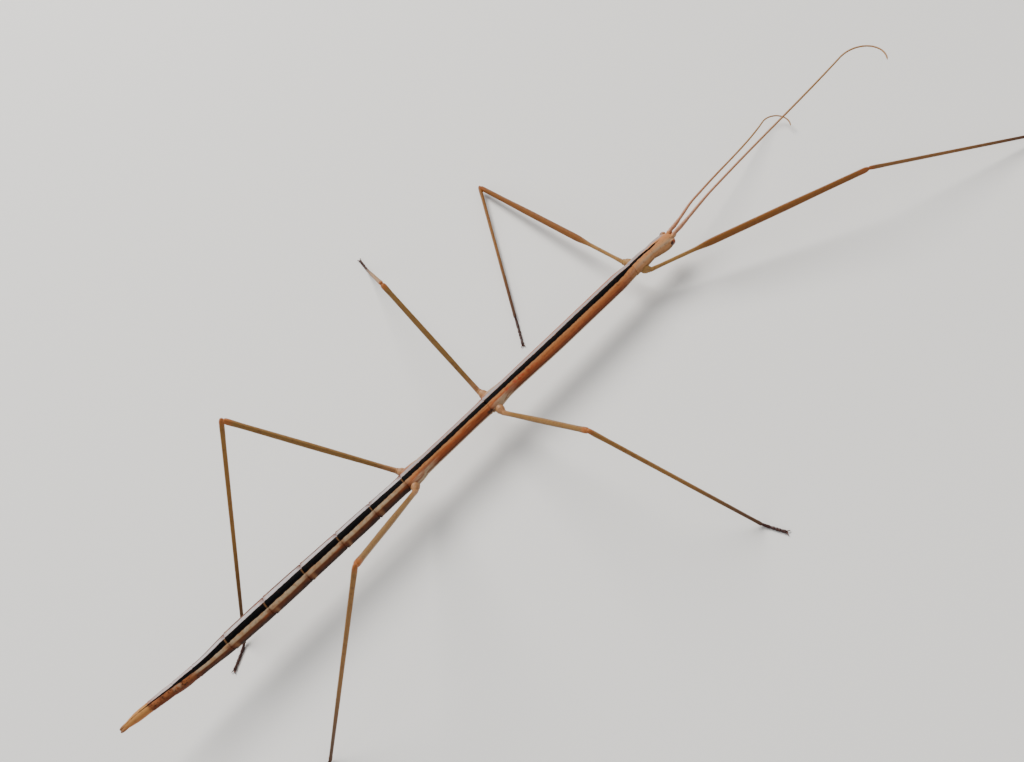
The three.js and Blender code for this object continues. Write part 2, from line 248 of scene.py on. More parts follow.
class Workbench:
    """Makes and finishes meshes with Blender's own modelling operators."""

    @staticmethod
    def clear_selection() -> None:
        """Deselects everything, so that an operator touches only new work."""
        if bpy.context.object and bpy.context.object.mode != "OBJECT":
            bpy.ops.object.mode_set(mode="OBJECT")
        bpy.ops.object.select_all(action="DESELECT")

    @classmethod
    def pick(cls, piece: bpy.types.Object) -> None:
        """Selects one piece and makes it active.

        Args:
            piece: The piece that the next operator works on.
        """
        cls.clear_selection()
        piece.select_set(True)
        bpy.context.view_layer.objects.active = piece

    @staticmethod
    def _named(name: str) -> bpy.types.Object:
        """Names the active piece and its mesh.

        Args:
            name: The name for both.

        Returns:
            The active piece.
        """
        piece = bpy.context.object
        piece.name = piece.data.name = name
        return piece

    @classmethod
    def sweep(
        cls, name: str, rings: Sequence[Ring], sides: int, ridges: int = 0,
        ridge_height: float = 1.1,
    ) -> bpy.types.Object:
        """Extrudes a disc along local Z, resizing it at every ring.

        Args:
            name: The piece's name.
            rings: Cross-sections by rising distance.
            sides: Corners of the disc.
            ridges: Lengthwise keels, evenly spaced.
            ridge_height: How far a keel's corner stands out, over the radius.

        Returns:
            The closed piece, with local X across it and local Y up.
        """
        cls.clear_selection()
        first = rings[0]
        bpy.ops.mesh.primitive_circle_add(
            vertices=sides, radius=1, fill_type="NGON", enter_editmode=True
        )
        if ridges:
            cls._raise_ridges(sides, ridges, ridge_height)
        bpy.ops.transform.resize(
            value=(first.half_width, first.half_height, 1), center_override=(0, 0, 0)
        )
        bpy.ops.transform.translate(value=(first.aside, first.lift, first.along))
        for before, ring in zip(rings, rings[1:]):
            step = (ring.aside - before.aside, ring.lift - before.lift, ring.along - before.along)
            bpy.ops.mesh.extrude_region_move(TRANSFORM_OT_translate={"value": step})
            wider = ring.half_width / before.half_width
            higher = ring.half_height / before.half_height
            bpy.ops.transform.resize(
                value=(wider, higher, 1), center_override=(ring.aside, ring.lift, ring.along)
            )
        bpy.ops.mesh.select_all(action="SELECT")
        bpy.ops.mesh.normals_make_consistent(inside=False)
        bpy.ops.object.mode_set(mode="OBJECT")
        return cls._named(name)

    @staticmethod
    def _raise_ridges(sides: int, ridges: int, height: float) -> None:
        """Moves every few corners of the selected disc outwards.

        Args:
            sides: Corners of the disc.
            ridges: How many of them move.
            height: How far out, over the radius.
        """
        bpy.ops.mesh.select_all(action="DESELECT")
        bpy.ops.mesh.select_mode(type="VERT")
        disc = bmesh.from_edit_mesh(bpy.context.object.data)
        disc.verts.ensure_lookup_table()
        for corner in range(0, sides, sides // ridges):
            disc.verts[corner].select = True
        disc.select_flush_mode()
        bpy.ops.transform.resize(value=(height, height, 1), center_override=(0, 0, 0))
        bpy.ops.mesh.select_all(action="SELECT")
        bpy.ops.mesh.select_mode(type="FACE")

    @classmethod
    def ball(cls, name: str, radii: tuple[float, float, float], turns: int) -> bpy.types.Object:
        """Makes a ball with three radii, round the origin.

        Args:
            name: The piece's name.
            radii: Its radii across, upwards and ahead, in millimetres.
            turns: Corners round its middle.

        Returns:
            The closed piece, still in millimetres.
        """
        cls.clear_selection()
        bpy.ops.mesh.primitive_uv_sphere_add(segments=turns, ring_count=turns // 2, radius=1)
        bpy.ops.transform.resize(value=radii)
        bpy.ops.object.transform_apply(location=False, rotation=False, scale=True)
        return cls._named(name)

    @classmethod
    def rod(
        cls, name: str, points: Sequence[Vector], radii: Sequence[float], roundness: int = 4,
    ) -> bpy.types.Object:
        """Makes a tapering rod along points of the shared frame.

        Args:
            name: The piece's name.
            points: Where it runs, in millimetres.
            radii: Its radius at each point.
            roundness: Half of the corners in its section, less one.

        Returns:
            The rod as a closed mesh, still in millimetres.
        """
        cls.clear_selection()
        bpy.ops.curve.primitive_nurbs_path_add(enter_editmode=False)
        curve = bpy.context.object.data
        curve.splines.clear()
        spline = curve.splines.new("POLY")
        spline.points.add(len(points) - 1)
        for slot, point, radius in zip(spline.points, points, radii):
            slot.co = (*point, 1)
            slot.radius = radius
        curve.bevel_depth = 1
        curve.bevel_resolution = roundness
        curve.use_fill_caps = True
        bpy.ops.object.convert(target="MESH")
        bpy.ops.object.mode_set(mode="EDIT")
        bpy.ops.mesh.select_all(action="SELECT")
        bpy.ops.mesh.remove_doubles(threshold=MERGE_GAP)
        bpy.ops.mesh.normals_make_consistent(inside=False)
        bpy.ops.object.mode_set(mode="OBJECT")
        return cls._named(name)

    @classmethod
    def place(
        cls, piece: bpy.types.Object, across: Vector, up: Vector, way: Vector, origin: Vector,
    ) -> None:
        """Turns a piece from its local axes into the shared frame, in metres.

        Args:
            piece: What is placed.
            across: Where its local X goes.
            up: Where its local Y goes.
            way: Where its local Z goes.
            origin: Where its local origin goes, in millimetres.
        """
        turn = Matrix((across, up, way)).transposed().to_4x4()
        piece.matrix_world = Matrix.Scale(MM, 4) @ Matrix.Translation(origin) @ turn
        cls.pick(piece)
        bpy.ops.object.transform_apply(location=True, rotation=True, scale=True)

    @classmethod
    def to_metres(cls, piece: bpy.types.Object) -> None:
        """Scales a piece that already lies in the shared frame to metres."""
        cls.place(piece, Vector((1, 0, 0)), LEFTWARD, UPWARD, Vector())

    @classmethod
    def smooth(cls, piece: bpy.types.Object, angle_deg: float) -> None:
        """Shades a piece smooth, apart from edges sharper than the angle."""
        cls.pick(piece)
        bpy.ops.object.shade_smooth_by_angle(angle=math.radians(angle_deg))

    @classmethod
    def join(cls, name: str, parts: Sequence[bpy.types.Object]) -> bpy.types.Object:
        """Joins parts into one piece, which keeps their materials.

        Args:
            name: The new piece's name.
            parts: What is joined, the first one taking in the others.

        Returns:
            The one piece.
        """
        cls.clear_selection()
        for part in parts:
            part.select_set(True)
        bpy.context.view_layer.objects.active = parts[0]
        bpy.ops.object.join()
        return cls._named(name)

    @staticmethod
    def mark_along(
        piece: bpy.types.Object, points: Sequence[Vector], low: float, high: float,
    ) -> None:
        """Stores how far along a path each corner lies, for the finish to read.

        Args:
            piece: A piece in the shared frame, in metres.
            points: The path, in millimetres.
            low: The value at its start.
            high: The value at its end.
        """
        path = np.array(points)
        lengths = np.linalg.norm(np.diff(path, axis=0), axis=1)
        reached = np.concatenate(([0], np.cumsum(lengths)))
        corners = np.array([corner.co for corner in piece.data.vertices]) / MM
        best = np.full(len(corners), np.inf)
        found = np.zeros(len(corners))
        for i, length in enumerate(lengths):
            way = (path[i + 1] - path[i]) / length
            run = np.clip((corners - path[i]) @ way, 0, length)
            gap = np.linalg.norm(corners - path[i] - run[:, None] * way, axis=1)
            nearer = gap < best
            best[nearer] = gap[nearer]
            found[nearer] = reached[i] + run[nearer]
        values = low + (high - low) * found / reached[-1]
        layer = piece.data.attributes.new(ALONG, "FLOAT", "POINT")
        layer.data.foreach_set("value", values.astype(np.float32))


# ---- Shader writing -------------------------------------------------------------


class Shade:
    """A number in a material, with arithmetic that adds Math nodes."""

    def __init__(self, paint: Paint, socket: bpy.types.NodeSocket) -> None:
        """Wraps a socket of the paint's material."""
        self.paint = paint
        self.socket = socket

    def _math(self, operation: str, *values: Shade | float) -> Shade:
        """Adds one Math node and returns its result."""
        return self.paint.node("ShaderNodeMath", {"operation": operation}, values)

    def __add__(self, other: Shade | float) -> Shade:
        """Sum."""
        return self._math("ADD", self, other)

    __radd__ = __add__

    def __sub__(self, other: Shade | float) -> Shade:
        """Difference."""
        return self._math("SUBTRACT", self, other)

    def __rsub__(self, other: float) -> Shade:
        """Difference from a number."""
        return self._math("SUBTRACT", other, self)

    def __mul__(self, other: Shade | float) -> Shade:
        """Product."""
        return self._math("MULTIPLY", self, other)

    __rmul__ = __mul__

    def __abs__(self) -> Shade:
        """Size without sign."""
        return self._math("ABSOLUTE", self)

    def atan2(self, other: Shade) -> Shade:
        """The angle whose tangent is this over the other, in radians."""
        return self._math("ARCTAN2", self, other)

    def sine(self) -> Shade:
        """Sine."""
        return self._math("SINE", self)

    def step(self, start: float, end: float) -> Shade:
        """A smooth change from 0 at one value to 1 at another, whichever is higher.

        Args:
            start: Where the mask is 0.
            end: Where the mask is 1.

        Returns:
            The mask.
        """
        if start > end:
            return 1 - self.step(end, start)
        values = {"Value": self, "From Min": start, "From Max": end}
        return self.paint.node("ShaderNodeMapRange", {"interpolation_type": "SMOOTHSTEP"}, values)

    def band(self, start: float, end: float, soft: float) -> Shade:
        """1 between start and end, falling to 0 over a soft edge."""
        return self.step(start - soft, start + soft) * self.step(end + soft, end - soft)


def tone(red: int, green: int, blue: int) -> Colour:
    """Turns a screen colour into linear light.

    Args:
        red: Red on screen, up to 255.
        green: Green on screen.
        blue: Blue on screen.

    Returns:
        The colour for a shader, with full alpha.
    """
    def linear(level: int) -> float:
        """One channel as linear light."""
        part = level / 255
        return part / 12.92 if part <= 0.04045 else ((part + 0.055) / 1.055) ** 2.4

    return (linear(red), linear(green), linear(blue), 1.0)


class Paint:
    """Writes the node tree of one material."""

    def __init__(self, name: str) -> None:
        """Starts an empty material with a Principled shader.

        Args:
            name: The material's name.
        """
        self.material = bpy.data.materials.new(name)
        self.material.use_nodes = True
        self.tree = self.material.node_tree
        self.tree.nodes.clear()
        output = self.tree.nodes.new("ShaderNodeOutputMaterial")
        self.shader = self.tree.nodes.new("ShaderNodeBsdfPrincipled")
        self.tree.links.new(self.shader.outputs[0], output.inputs["Surface"])

    def _feed(self, socket: bpy.types.NodeSocket, value: object) -> None:
        """Links or sets one input.

        Args:
            socket: The input.
            value: A shade or a socket to link, or a plain value to set.
        """
        if isinstance(value, Shade):
            value = value.socket
        if isinstance(value, bpy.types.NodeSocket):
            self.tree.links.new(value, socket)
        else:
            socket.default_value = value

    def node(
        self, kind: str, settings: dict[str, object], values: object, output: int | str = 0,
    ) -> Shade:
        """Adds any node.

        Args:
            kind: The node's type.
            settings: Its properties, set before its inputs.
            values: Its inputs, as a list in order or by name.
            output: Which output to return.

        Returns:
            The output, wrapped.
        """
        made = self.tree.nodes.new(kind)
        for key, setting in settings.items():
            setattr(made, key, setting)
        pairs = values.items() if isinstance(values, dict) else enumerate(values)
        for key, value in pairs:
            self._feed(made.inputs[key], value)
        return Shade(self, made.outputs[output])

    def stored(self, name: str) -> Shade:
        """A number stored at the corners of the mesh."""
        return self.node("ShaderNodeAttribute", {"attribute_name": name}, {}, "Fac")

    def noise(self, size: float, detail: float = 2.0, stretch: Vector | None = None) -> Shade:
        """Cloudy noise, about 0.5 on average.

        Args:
            size: The width of a cloud, in millimetres.
            detail: Layers of finer noise.
            stretch: Factors on each axis, under 1 for longer clouds.

        Returns:
            The noise.
        """
        place = self.node("ShaderNodeTexCoord", {}, {}, "Object")
        if stretch is not None:
            place = self.node("ShaderNodeMapping", {}, {"Vector": place, "Scale": stretch})
        values = {"Vector": place, "Scale": 1 / (size * MM), "Detail": detail}
        return self.node("ShaderNodeTexNoise", {}, values, "Fac")

    def cells(self, size: float) -> Shade:
        """Measures to the nearest of scattered points, for facets.

        Args:
            size: The width of a facet, in millimetres.

        Returns:
            The distance, as a share of that width.
        """
        place = self.node("ShaderNodeTexCoord", {}, {}, "Object")
        values = {"Vector": place, "Scale": 1 / (size * MM)}
        return self.node("ShaderNodeTexVoronoi", {}, values, "Distance")

    def blend(self, mask: Shade | float, under: object, over: object) -> Shade:
        """Lays one colour over another through a mask.

        Args:
            mask: How much of the upper colour shows, from 0 to 1.
            under: The lower colour.
            over: The upper colour.

        Returns:
            The mixed colour.
        """
        mixed = self.tree.nodes.new("ShaderNodeMix")
        mixed.data_type = "RGBA"
        mixed.clamp_factor = True
        self._feed(mixed.inputs[0], mask)
        self._feed(mixed.inputs[6], under)
        self._feed(mixed.inputs[7], over)
        return Shade(self, mixed.outputs[2])

    def relief(self, height: Shade, depth: float) -> None:
        """Raises the surface by a height, over a depth in millimetres."""
        values = {"Height": height, "Distance": depth * MM, "Strength": 1.0}
        self._feed(self.shader.inputs["Normal"], self.node("ShaderNodeBump", {}, values))

    def finish(
        self, colour: object, roughness: object, coat: float = 0.0, specular: object = 0.5,
    ) -> bpy.types.Material:
        """Connects the colour and sets the gloss.

        Args:
            colour: The base colour.
            roughness: A number or a shade.
            coat: Weight of a clear coat.
            specular: Level of the plain reflection, a number or a shade.

        Returns:
            The material.
        """
        self._feed(self.shader.inputs["Base Color"], colour)
        self._feed(self.shader.inputs["Roughness"], roughness)
        self.shader.inputs["Coat Weight"].default_value = coat
        self.shader.inputs["Coat Roughness"].default_value = 0.25
        self._feed(self.shader.inputs["Specular IOR Level"], specular)
        return self.material


# ---- Finishes -------------------------------------------------------------------

BLACK = tone(1, 1, 2)
# The left pale line: its own cream, brightened and widened by a painted highlight of sky glare.
PALE_LINE_AND_GLARE = tone(178, 170, 170)
# The same left pale line with its painted glare, dimmer on the thorax and head.
THORAX_PALE_LINE_AND_GLARE = tone(150, 138, 136)
CREAM = tone(174, 150, 120)
TAN = tone(160, 114, 74)
FAN_TAN = tone(174, 130, 88)
ORANGE = tone(158, 78, 38)
AMBER = tone(176, 108, 60)
RED = tone(166, 48, 28)
BROWN = tone(98, 52, 28)
DEEP_BROWN = tone(42, 22, 14)
HEAD_TAN = tone(186, 136, 92)
TAIL_TAN = tone(170, 118, 64)
TAIL_AMBER = tone(142, 84, 48)
TAIL_BROWN = tone(104, 50, 24)
BELLY = tone(116, 84, 46)
WINE = tone(50, 22, 16)
UMBER = tone(112, 78, 60)


@dataclass(frozen=True)
class TrunkFinish:
    """The striped cuticle of head, thorax and abdomen.

    Angles are degrees from the middle of the back, towards the right, and
    stations are distances back from the eyes. The stripe wanders a little to
    each side of the middle.
    """

    thorax_end: float = 57.9
    tail_start: float = 97.9
    last_start: float = 105.4
    coxa_stations: tuple[float, float] = (39.8, 56.6)
    head_fade: tuple[float, float] = (13, 5)
    glow_stations: tuple[float, float] = (10, 32)
    blush_stations: tuple[float, float] = (31, 39)
    fleck_station: float = 101.4
    tip_stations: tuple[float, float] = (108.9, 110.2)
    side_line: tuple[float, float] = (78, 84)
    belly_angles: tuple[float, float] = (100, 112)
    stripe_wander: float = 5
    stripe_chips: float = 11
    gloss: float = 0.14
    stripe_dulling: float = 0.7
    stripe_centre: tuple[tuple[float, float], ...] = (
        (2, -6.0), (7, -4.0), (12, 7.0), (24, 4.5), (40, 2.0), (61, 2.8), (75, 9.0), (82, 12.0),
        (95, 11.0), (100, 2.0), (108, -4.0),
    )
    stripe_half: tuple[tuple[float, float], ...] = (
        (1.2, 0.0), (4, 9.0), (8, 12.0), (12, 19.0), (40, 17.6), (61, 18.0), (67, 20.5), (96, 19.5),
        (100, 16.0), (102, 9.0), (105.2, 8.0), (106, 4.5), (109.2, 4.0),
    )

    def make(self, joints: Sequence[float]) -> bpy.types.Material:
        """Builds the material.

        Args:
            joints: Stations where two abdominal segments meet.

        Returns:
            The material.
        """
        paint = Paint("cuticle_trunk")
        drift = paint.noise(2.2, 3) - 0.5
        station = paint.stored(STATION)
        turn = paint.stored(ASIDE).atan2(paint.stored(RISE)) * math.degrees(1)
        turn = turn - self._course(self.stripe_centre, station)
        angle = abs(turn) + drift * self.stripe_wander
        left = turn.step(3, -3)
        ragged = station + drift * 0.9
        chipped = (paint.noise(0.55, 3) - 0.5) * self.stripe_chips
        half = self._course(self.stripe_half, station)
        abdomen = ragged.step(self.thorax_end - 1.2, self.thorax_end + 0.6)
        tail = ragged.step(self.tail_start - 1.4, self.tail_start + 1.0)

        colour = self._thorax(paint, angle, left, station, half)
        colour = paint.blend(abdomen, colour, self._abdomen(paint, angle, left, half))
        colour = paint.blend(tail, colour, self._tail(paint, angle, left, station, half))
        for i, joint in enumerate(joints):
            colour = self._joint(paint, colour, ragged - joint, angle, i)
        edge = (half + chipped - angle).step(-1.8, 1.8)
        stripe = edge * station.step(1.4, 2.8)
        colour = paint.blend(stripe, colour, BLACK)
        for joint in joints:
            ring = abs(station - joint - 0.12).step(0.16, 0.05) * angle.step(24, 10)
            colour = paint.blend(ring * 0.3, colour, TAN)
        cloud = paint.noise(0.5, 4)
        colour = paint.blend(cloud.step(0.52, 0.78) * 0.3, colour, DEEP_BROWN)

        grain = paint.noise(0.12, 3) + 0.6 * paint.noise(0.4, 2)
        paint.relief(grain, 0.03)
        specular = (1 - self.stripe_dulling * stripe) * self.gloss
        return paint.finish(colour, 0.48 + 0.16 * cloud, specular=specular)

    @staticmethod
    def _course(table: Sequence[tuple[float, float]], station: Shade) -> Shade:
        """Eases a value from one station of a table to the next.

        Args:
            table: Stations and values, by rising station.
            station: Each point's own station.

        Returns:
            The value at each point.
        """
        value = station * 0 + table[0][1]
        for (start, low), (end, high) in zip(table, table[1:]):
            value = value + (high - low) * station.step(start, end)
        return value

    def _thorax(
        self, paint: Paint, angle: Shade, left: Shade, station: Shade, half: Shade,
    ) -> Shade:
        """Paints red-orange flanks that darken downwards, partly by painted shade, paling to tan on
        the head.

        Args:
            paint: The material being written.
            angle: Turn from the stripe's middle, in degrees.
            left: 1 on the left side and 0 on the right.
            station: Distance back from the eyes.
            half: Half of the stripe's width, in degrees.

        Returns:
            The colour.
        """
        streak = paint.noise(0.7, 3, Vector((0.16, 1, 1)))
        # Amber near the stripe darkening to brown low on the flank: partly the flank's own colour,
        # partly painted shade.
        flank = paint.blend(angle.step(26, 48), AMBER, ORANGE)
        flank = paint.blend(angle.step(46, 80) * 0.95, flank, TAIL_BROWN)
        flank = paint.blend(streak.step(0.46, 0.72) * 0.45, flank, TAIL_BROWN)
        fibre = paint.noise(0.3, 3, Vector((0.1, 1, 1)))
        flank = paint.blend(fibre.step(0.54, 0.66) * 0.4 * angle.step(64, 40), flank, FAN_TAN)
        flank = paint.blend(fibre.step(0.45, 0.35) * 0.5, flank, TAIL_BROWN)
        glow = station.band(*self.glow_stations, 5) * angle.band(22, 56, 8)
        flank = paint.blend(glow * 0.5, flank, AMBER)
        blush = paint.noise(0.6, 3).step(0.46, 0.6) * station.band(*self.blush_stations, 3)
        blush = blush * angle.step(70, 40)
        flank = paint.blend(blush * 0.6, flank, RED)
        line = angle.band(*self.side_line, 2) * station.step(8, 11)
        flank = paint.blend(line * 0.85, flank, DEEP_BROWN)
        flank = paint.blend(angle.band(88, 98, 3) * 0.8, flank, CREAM)
        flank = paint.blend(angle.step(*self.belly_angles), flank, BELLY)
        for place in self.coxa_stations:
            fan = (station - 0.03 * angle).band(place - 5.6, place - 1.5, 1.5)
            fan = fan * angle.band(42, 110, 10)
            rays = fibre.step(0.42, 0.56)
            flank = paint.blend(fan * (0.35 + 0.5 * rays), flank, CREAM)
            spot = abs(station - place - 1.2).step(0.7, 0.3) * angle.band(60, 80, 6)
            flank = paint.blend(spot * 0.8, flank, DEEP_BROWN)
        flank = paint.blend((angle - half).band(0.5, 9, 2) * (1 - left) * 0.8, flank, TAN)
        head = self._head(paint, angle, streak)
        flank = paint.blend(station.step(*self.head_fade) * 0.9, flank, head)
        # Left side only: the pale line beside the stripe, widened towards the flank by a painted
        # highlight of sky glare.
        inner = angle - half - 14 * station.step(7, 2)
        pale = inner.step(-1, 3) * angle.step(48, 42) * left * station.step(0.2, 1.6)
        return paint.blend(pale, flank, THORAX_PALE_LINE_AND_GLARE)

    def _head(self, paint: Paint, angle: Shade, streak: Shade) -> Shade:
        """Paints the head pinkish tan, with a lighter line of painted highlight and an olive lower
        edge.

        Args:
            paint: The material being written.
            angle: Turn from the stripe's middle, in degrees.
            streak: Noise drawn out along the body.

        Returns:
            The colour.
        """
        front = paint.blend(streak.step(0.5, 0.72) * 0.5, HEAD_TAN, AMBER)
        front = paint.blend(angle.step(30, 18) * 0.5, front, AMBER)
        # A cream line along the upper side of the head: a painted highlight.
        front = paint.blend(angle.band(38, 56, 8) * 0.75, front, CREAM)
        front = paint.blend(angle.step(72, 96) * 0.8, front, BELLY)
        return paint.blend(paint.noise(0.35, 3).step(0.58, 0.7) * 0.3, front, TAIL_BROWN)

    def _abdomen(self, paint: Paint, angle: Shade, left: Shade, half: Shade) -> Shade:
        """Paints pale bands beside the stripe over brown flanks, the left one with painted glare.

        Args:
            paint: The material being written.
            angle: Turn from the stripe's middle, in degrees.
            left: 1 on the left side and 0 on the right.
            half: Half of the stripe's width, in degrees.

        Returns:
            The colour.
        """
        mottle = paint.noise(0.9, 4)
        flank = paint.blend(angle.step(50, 84), BROWN, DEEP_BROWN)
        flank = paint.blend(mottle.step(0.5, 0.75) * 0.5, flank, DEEP_BROWN)
        flank = paint.blend(angle.step(104, 120), flank, BELLY)
        band = paint.blend(mottle.step(0.42, 0.66) * 0.7, CREAM, TAN)
        band = paint.blend((angle - half).step(14, 30) * 0.75, band, TAN)
        flank = paint.blend((angle - half).band(-2, 25, 5) * (1 - left), flank, band)
        # Left side only: the pale line, made whiter and wider by a painted highlight of sky glare.
        return paint.blend((angle - half).step(-1, 2) * angle.step(51, 45) * left, flank, PALE_LINE_AND_GLARE)

    def _tail(self, paint: Paint, angle: Shade, left: Shade, station: Shade, half: Shade) -> Shade:
        """Paints the last segments orange-brown, the very last golden tan with a dark end.

        Args:
            paint: The material being written.
            angle: Turn from the stripe's middle, in degrees.
            left: 1 on the left side and 0 on the right.
            station: Distance back from the eyes.
            half: Half of the stripe's width, in degrees.

        Returns:
            The colour.
        """
        mottle = paint.noise(0.7, 3)
        colour = paint.blend(angle.step(36, 75), TAIL_AMBER, TAIL_BROWN)
        colour = paint.blend(mottle.step(0.48, 0.62) * 0.7, colour, TAIL_BROWN)
        colour = paint.blend(paint.noise(0.4, 3).step(0.58, 0.66) * 0.75, colour, DEEP_BROWN)
        fleck = abs(station - self.fleck_station + mottle).step(0.9, 0.4) * angle.band(16, 58, 12)
        colour = paint.blend(fleck * mottle.step(0.4, 0.6) * 0.55, colour, CREAM)
        # Left side only: the pale line, painted white with a painted highlight of sky glare.
        edge = (angle - half).step(-1, 3) * angle.step(52, 44) * left * station.step(106, 103)
        colour = paint.blend(edge * 0.85, colour, PALE_LINE_AND_GLARE)
        last = paint.blend(angle.step(30, 90) * 0.7, TAIL_TAN, AMBER)
        behind = station.step(self.last_start - 0.4, self.last_start + 0.3)
        colour = paint.blend(behind, colour, last)
        return paint.blend(station.step(*self.tip_stations) * 0.7, colour, UMBER)

    @staticmethod
    def _joint(paint: Paint, colour: Shade, behind: Shade, angle: Shade, number: int) -> Shade:
        """Marks a joint: brown across the pale band, paler ahead, dark behind.

        Args:
            paint: The material being written.
            colour: What is painted so far.
            behind: Distance behind the joint.
            angle: Turn from the stripe's middle, in degrees.
            number: The joint's place in the row, every second one having a spot.

        Returns:
            The colour with the joint on it.
        """
        ring = (behind - 0.1).band(-0.5, 0.45, 0.35) * angle.band(26, 66, 10)
        colour = paint.blend(ring * 0.6, colour, TAIL_BROWN)
        pale = (behind + 0.75).band(-0.2, 0.3, 0.3) * angle.band(44, 108, 16)
        colour = paint.blend(pale * 0.45, colour, TAN)
        dark = (behind - 0.8).band(-0.5, 0.6, 0.4) * angle.band(62, 92, 12)
        colour = paint.blend(dark * 0.8, colour, DEEP_BROWN)
        if number % 2 == 0:
            spot = (behind - 0.9).band(-0.4, 0.7, 0.5) * angle.band(42, 54, 8)
            colour = paint.blend(spot * 0.5, colour, ORANGE)
        return colour


@dataclass(frozen=True)
class LimbFinish:
    """Leg cuticle. It runs from coxa to foot: 0 hip, 1 knee, 2 ankle, 3 toe."""

    name: str
    coxa: Colour
    femur: Colour
    knee: Colour
    tibia: Colour
    turn: tuple[float, float] = (0.02, 0.2)
    knee_band: tuple[float, float] = (0.955, 1.03)
    shin_darkening: tuple[float, float] = (1.45, 1.97)

    def make(self) -> bpy.types.Material:
        """Builds the material.

        Returns:
            The material.
        """
        paint = Paint(self.name)
        along = paint.stored(ALONG)
        colour = paint.blend(along.step(*self.turn), self.coxa, self.femur)
        colour = paint.blend(along.band(*self.knee_band, 0.02), colour, self.knee)
        colour = paint.blend(along.step(1.01, 1.06), colour, self.tibia)
        colour = paint.blend(along.step(*self.shin_darkening) * 0.75, colour, WINE)
        colour = paint.blend(along.step(1.96, 2.05), colour, WINE)
        mottle = paint.noise(0.6, 4)
        colour = paint.blend(mottle.step(0.48, 0.74) * 0.45, colour, BROWN)
        paint.relief(paint.noise(0.1, 3), 0.03)
        return paint.finish(colour, 0.4 + 0.16 * mottle, specular=0.3)


GOLDEN_LEGS = LimbFinish(
    "cuticle_legs", TAN, tone(128, 92, 42), tone(152, 88, 38), tone(136, 94, 40)
)
RUSTY_FORELEGS = LimbFinish(
    "cuticle_forelegs", tone(146, 108, 58), tone(120, 72, 22), tone(132, 72, 26),
    tone(124, 82, 38), (0.18, 0.3),
)


@dataclass(frozen=True)
class AntennaFinish:
    """Pinkish tan at the base, golden towards the tip, with dark rings."""

    base: Colour = tone(166, 112, 78)
    tip: Colour = tone(150, 104, 46)
    rings: int = 34

    def make(self) -> bpy.types.Material:
        """Builds the material.

        Returns:
            The material.
        """
        paint = Paint("cuticle_antenna")
        along = paint.stored(ALONG)
        colour = paint.blend(along.step(0.1, 0.75), self.base, self.tip)
        rings = (along * (math.tau * self.rings)).sine().step(0.75, 1.0)
        colour = paint.blend(rings * 0.35, colour, TAIL_BROWN)
        paint.relief(paint.noise(0.09, 2), 0.02)
        return paint.finish(colour, 0.45)


@dataclass(frozen=True)
class EyeFinish:
    """A glossy brown compound eye with fine facets."""

    dark: Colour = tone(62, 28, 16)
    light: Colour = tone(142, 66, 30)

    def make(self) -> bpy.types.Material:
        """Builds the material.

        Returns:
            The material.
        """
        paint = Paint("eye_facets")
        behind = paint.stored(STATION) + (paint.noise(0.4, 2) - 0.5) * 0.35
        colour = paint.blend(behind.step(0.15, 0.6), self.light, self.dark)
        paint.relief(1 - paint.cells(0.035), 0.008)
        return paint.finish(colour, 0.3, coat=0.2, specular=0.35)


@dataclass(frozen=True)
class HornFinish:
    """Hard dark horn of claws and jaws."""

    dark: Colour = tone(44, 20, 16)
    light: Colour = tone(104, 52, 32)

    def make(self) -> bpy.types.Material:
        """Builds the material.

        Returns:
            The material.
        """
        paint = Paint("horn")
        cloud = paint.noise(0.3, 3)
        paint.relief(paint.noise(0.08, 2), 0.01)
        colour = paint.blend(cloud.step(0.35, 0.7), self.dark, self.light)
        return paint.finish(colour, 0.5, specular=0.3)


# ---- Trunk and head ---------------------------------------------------------------


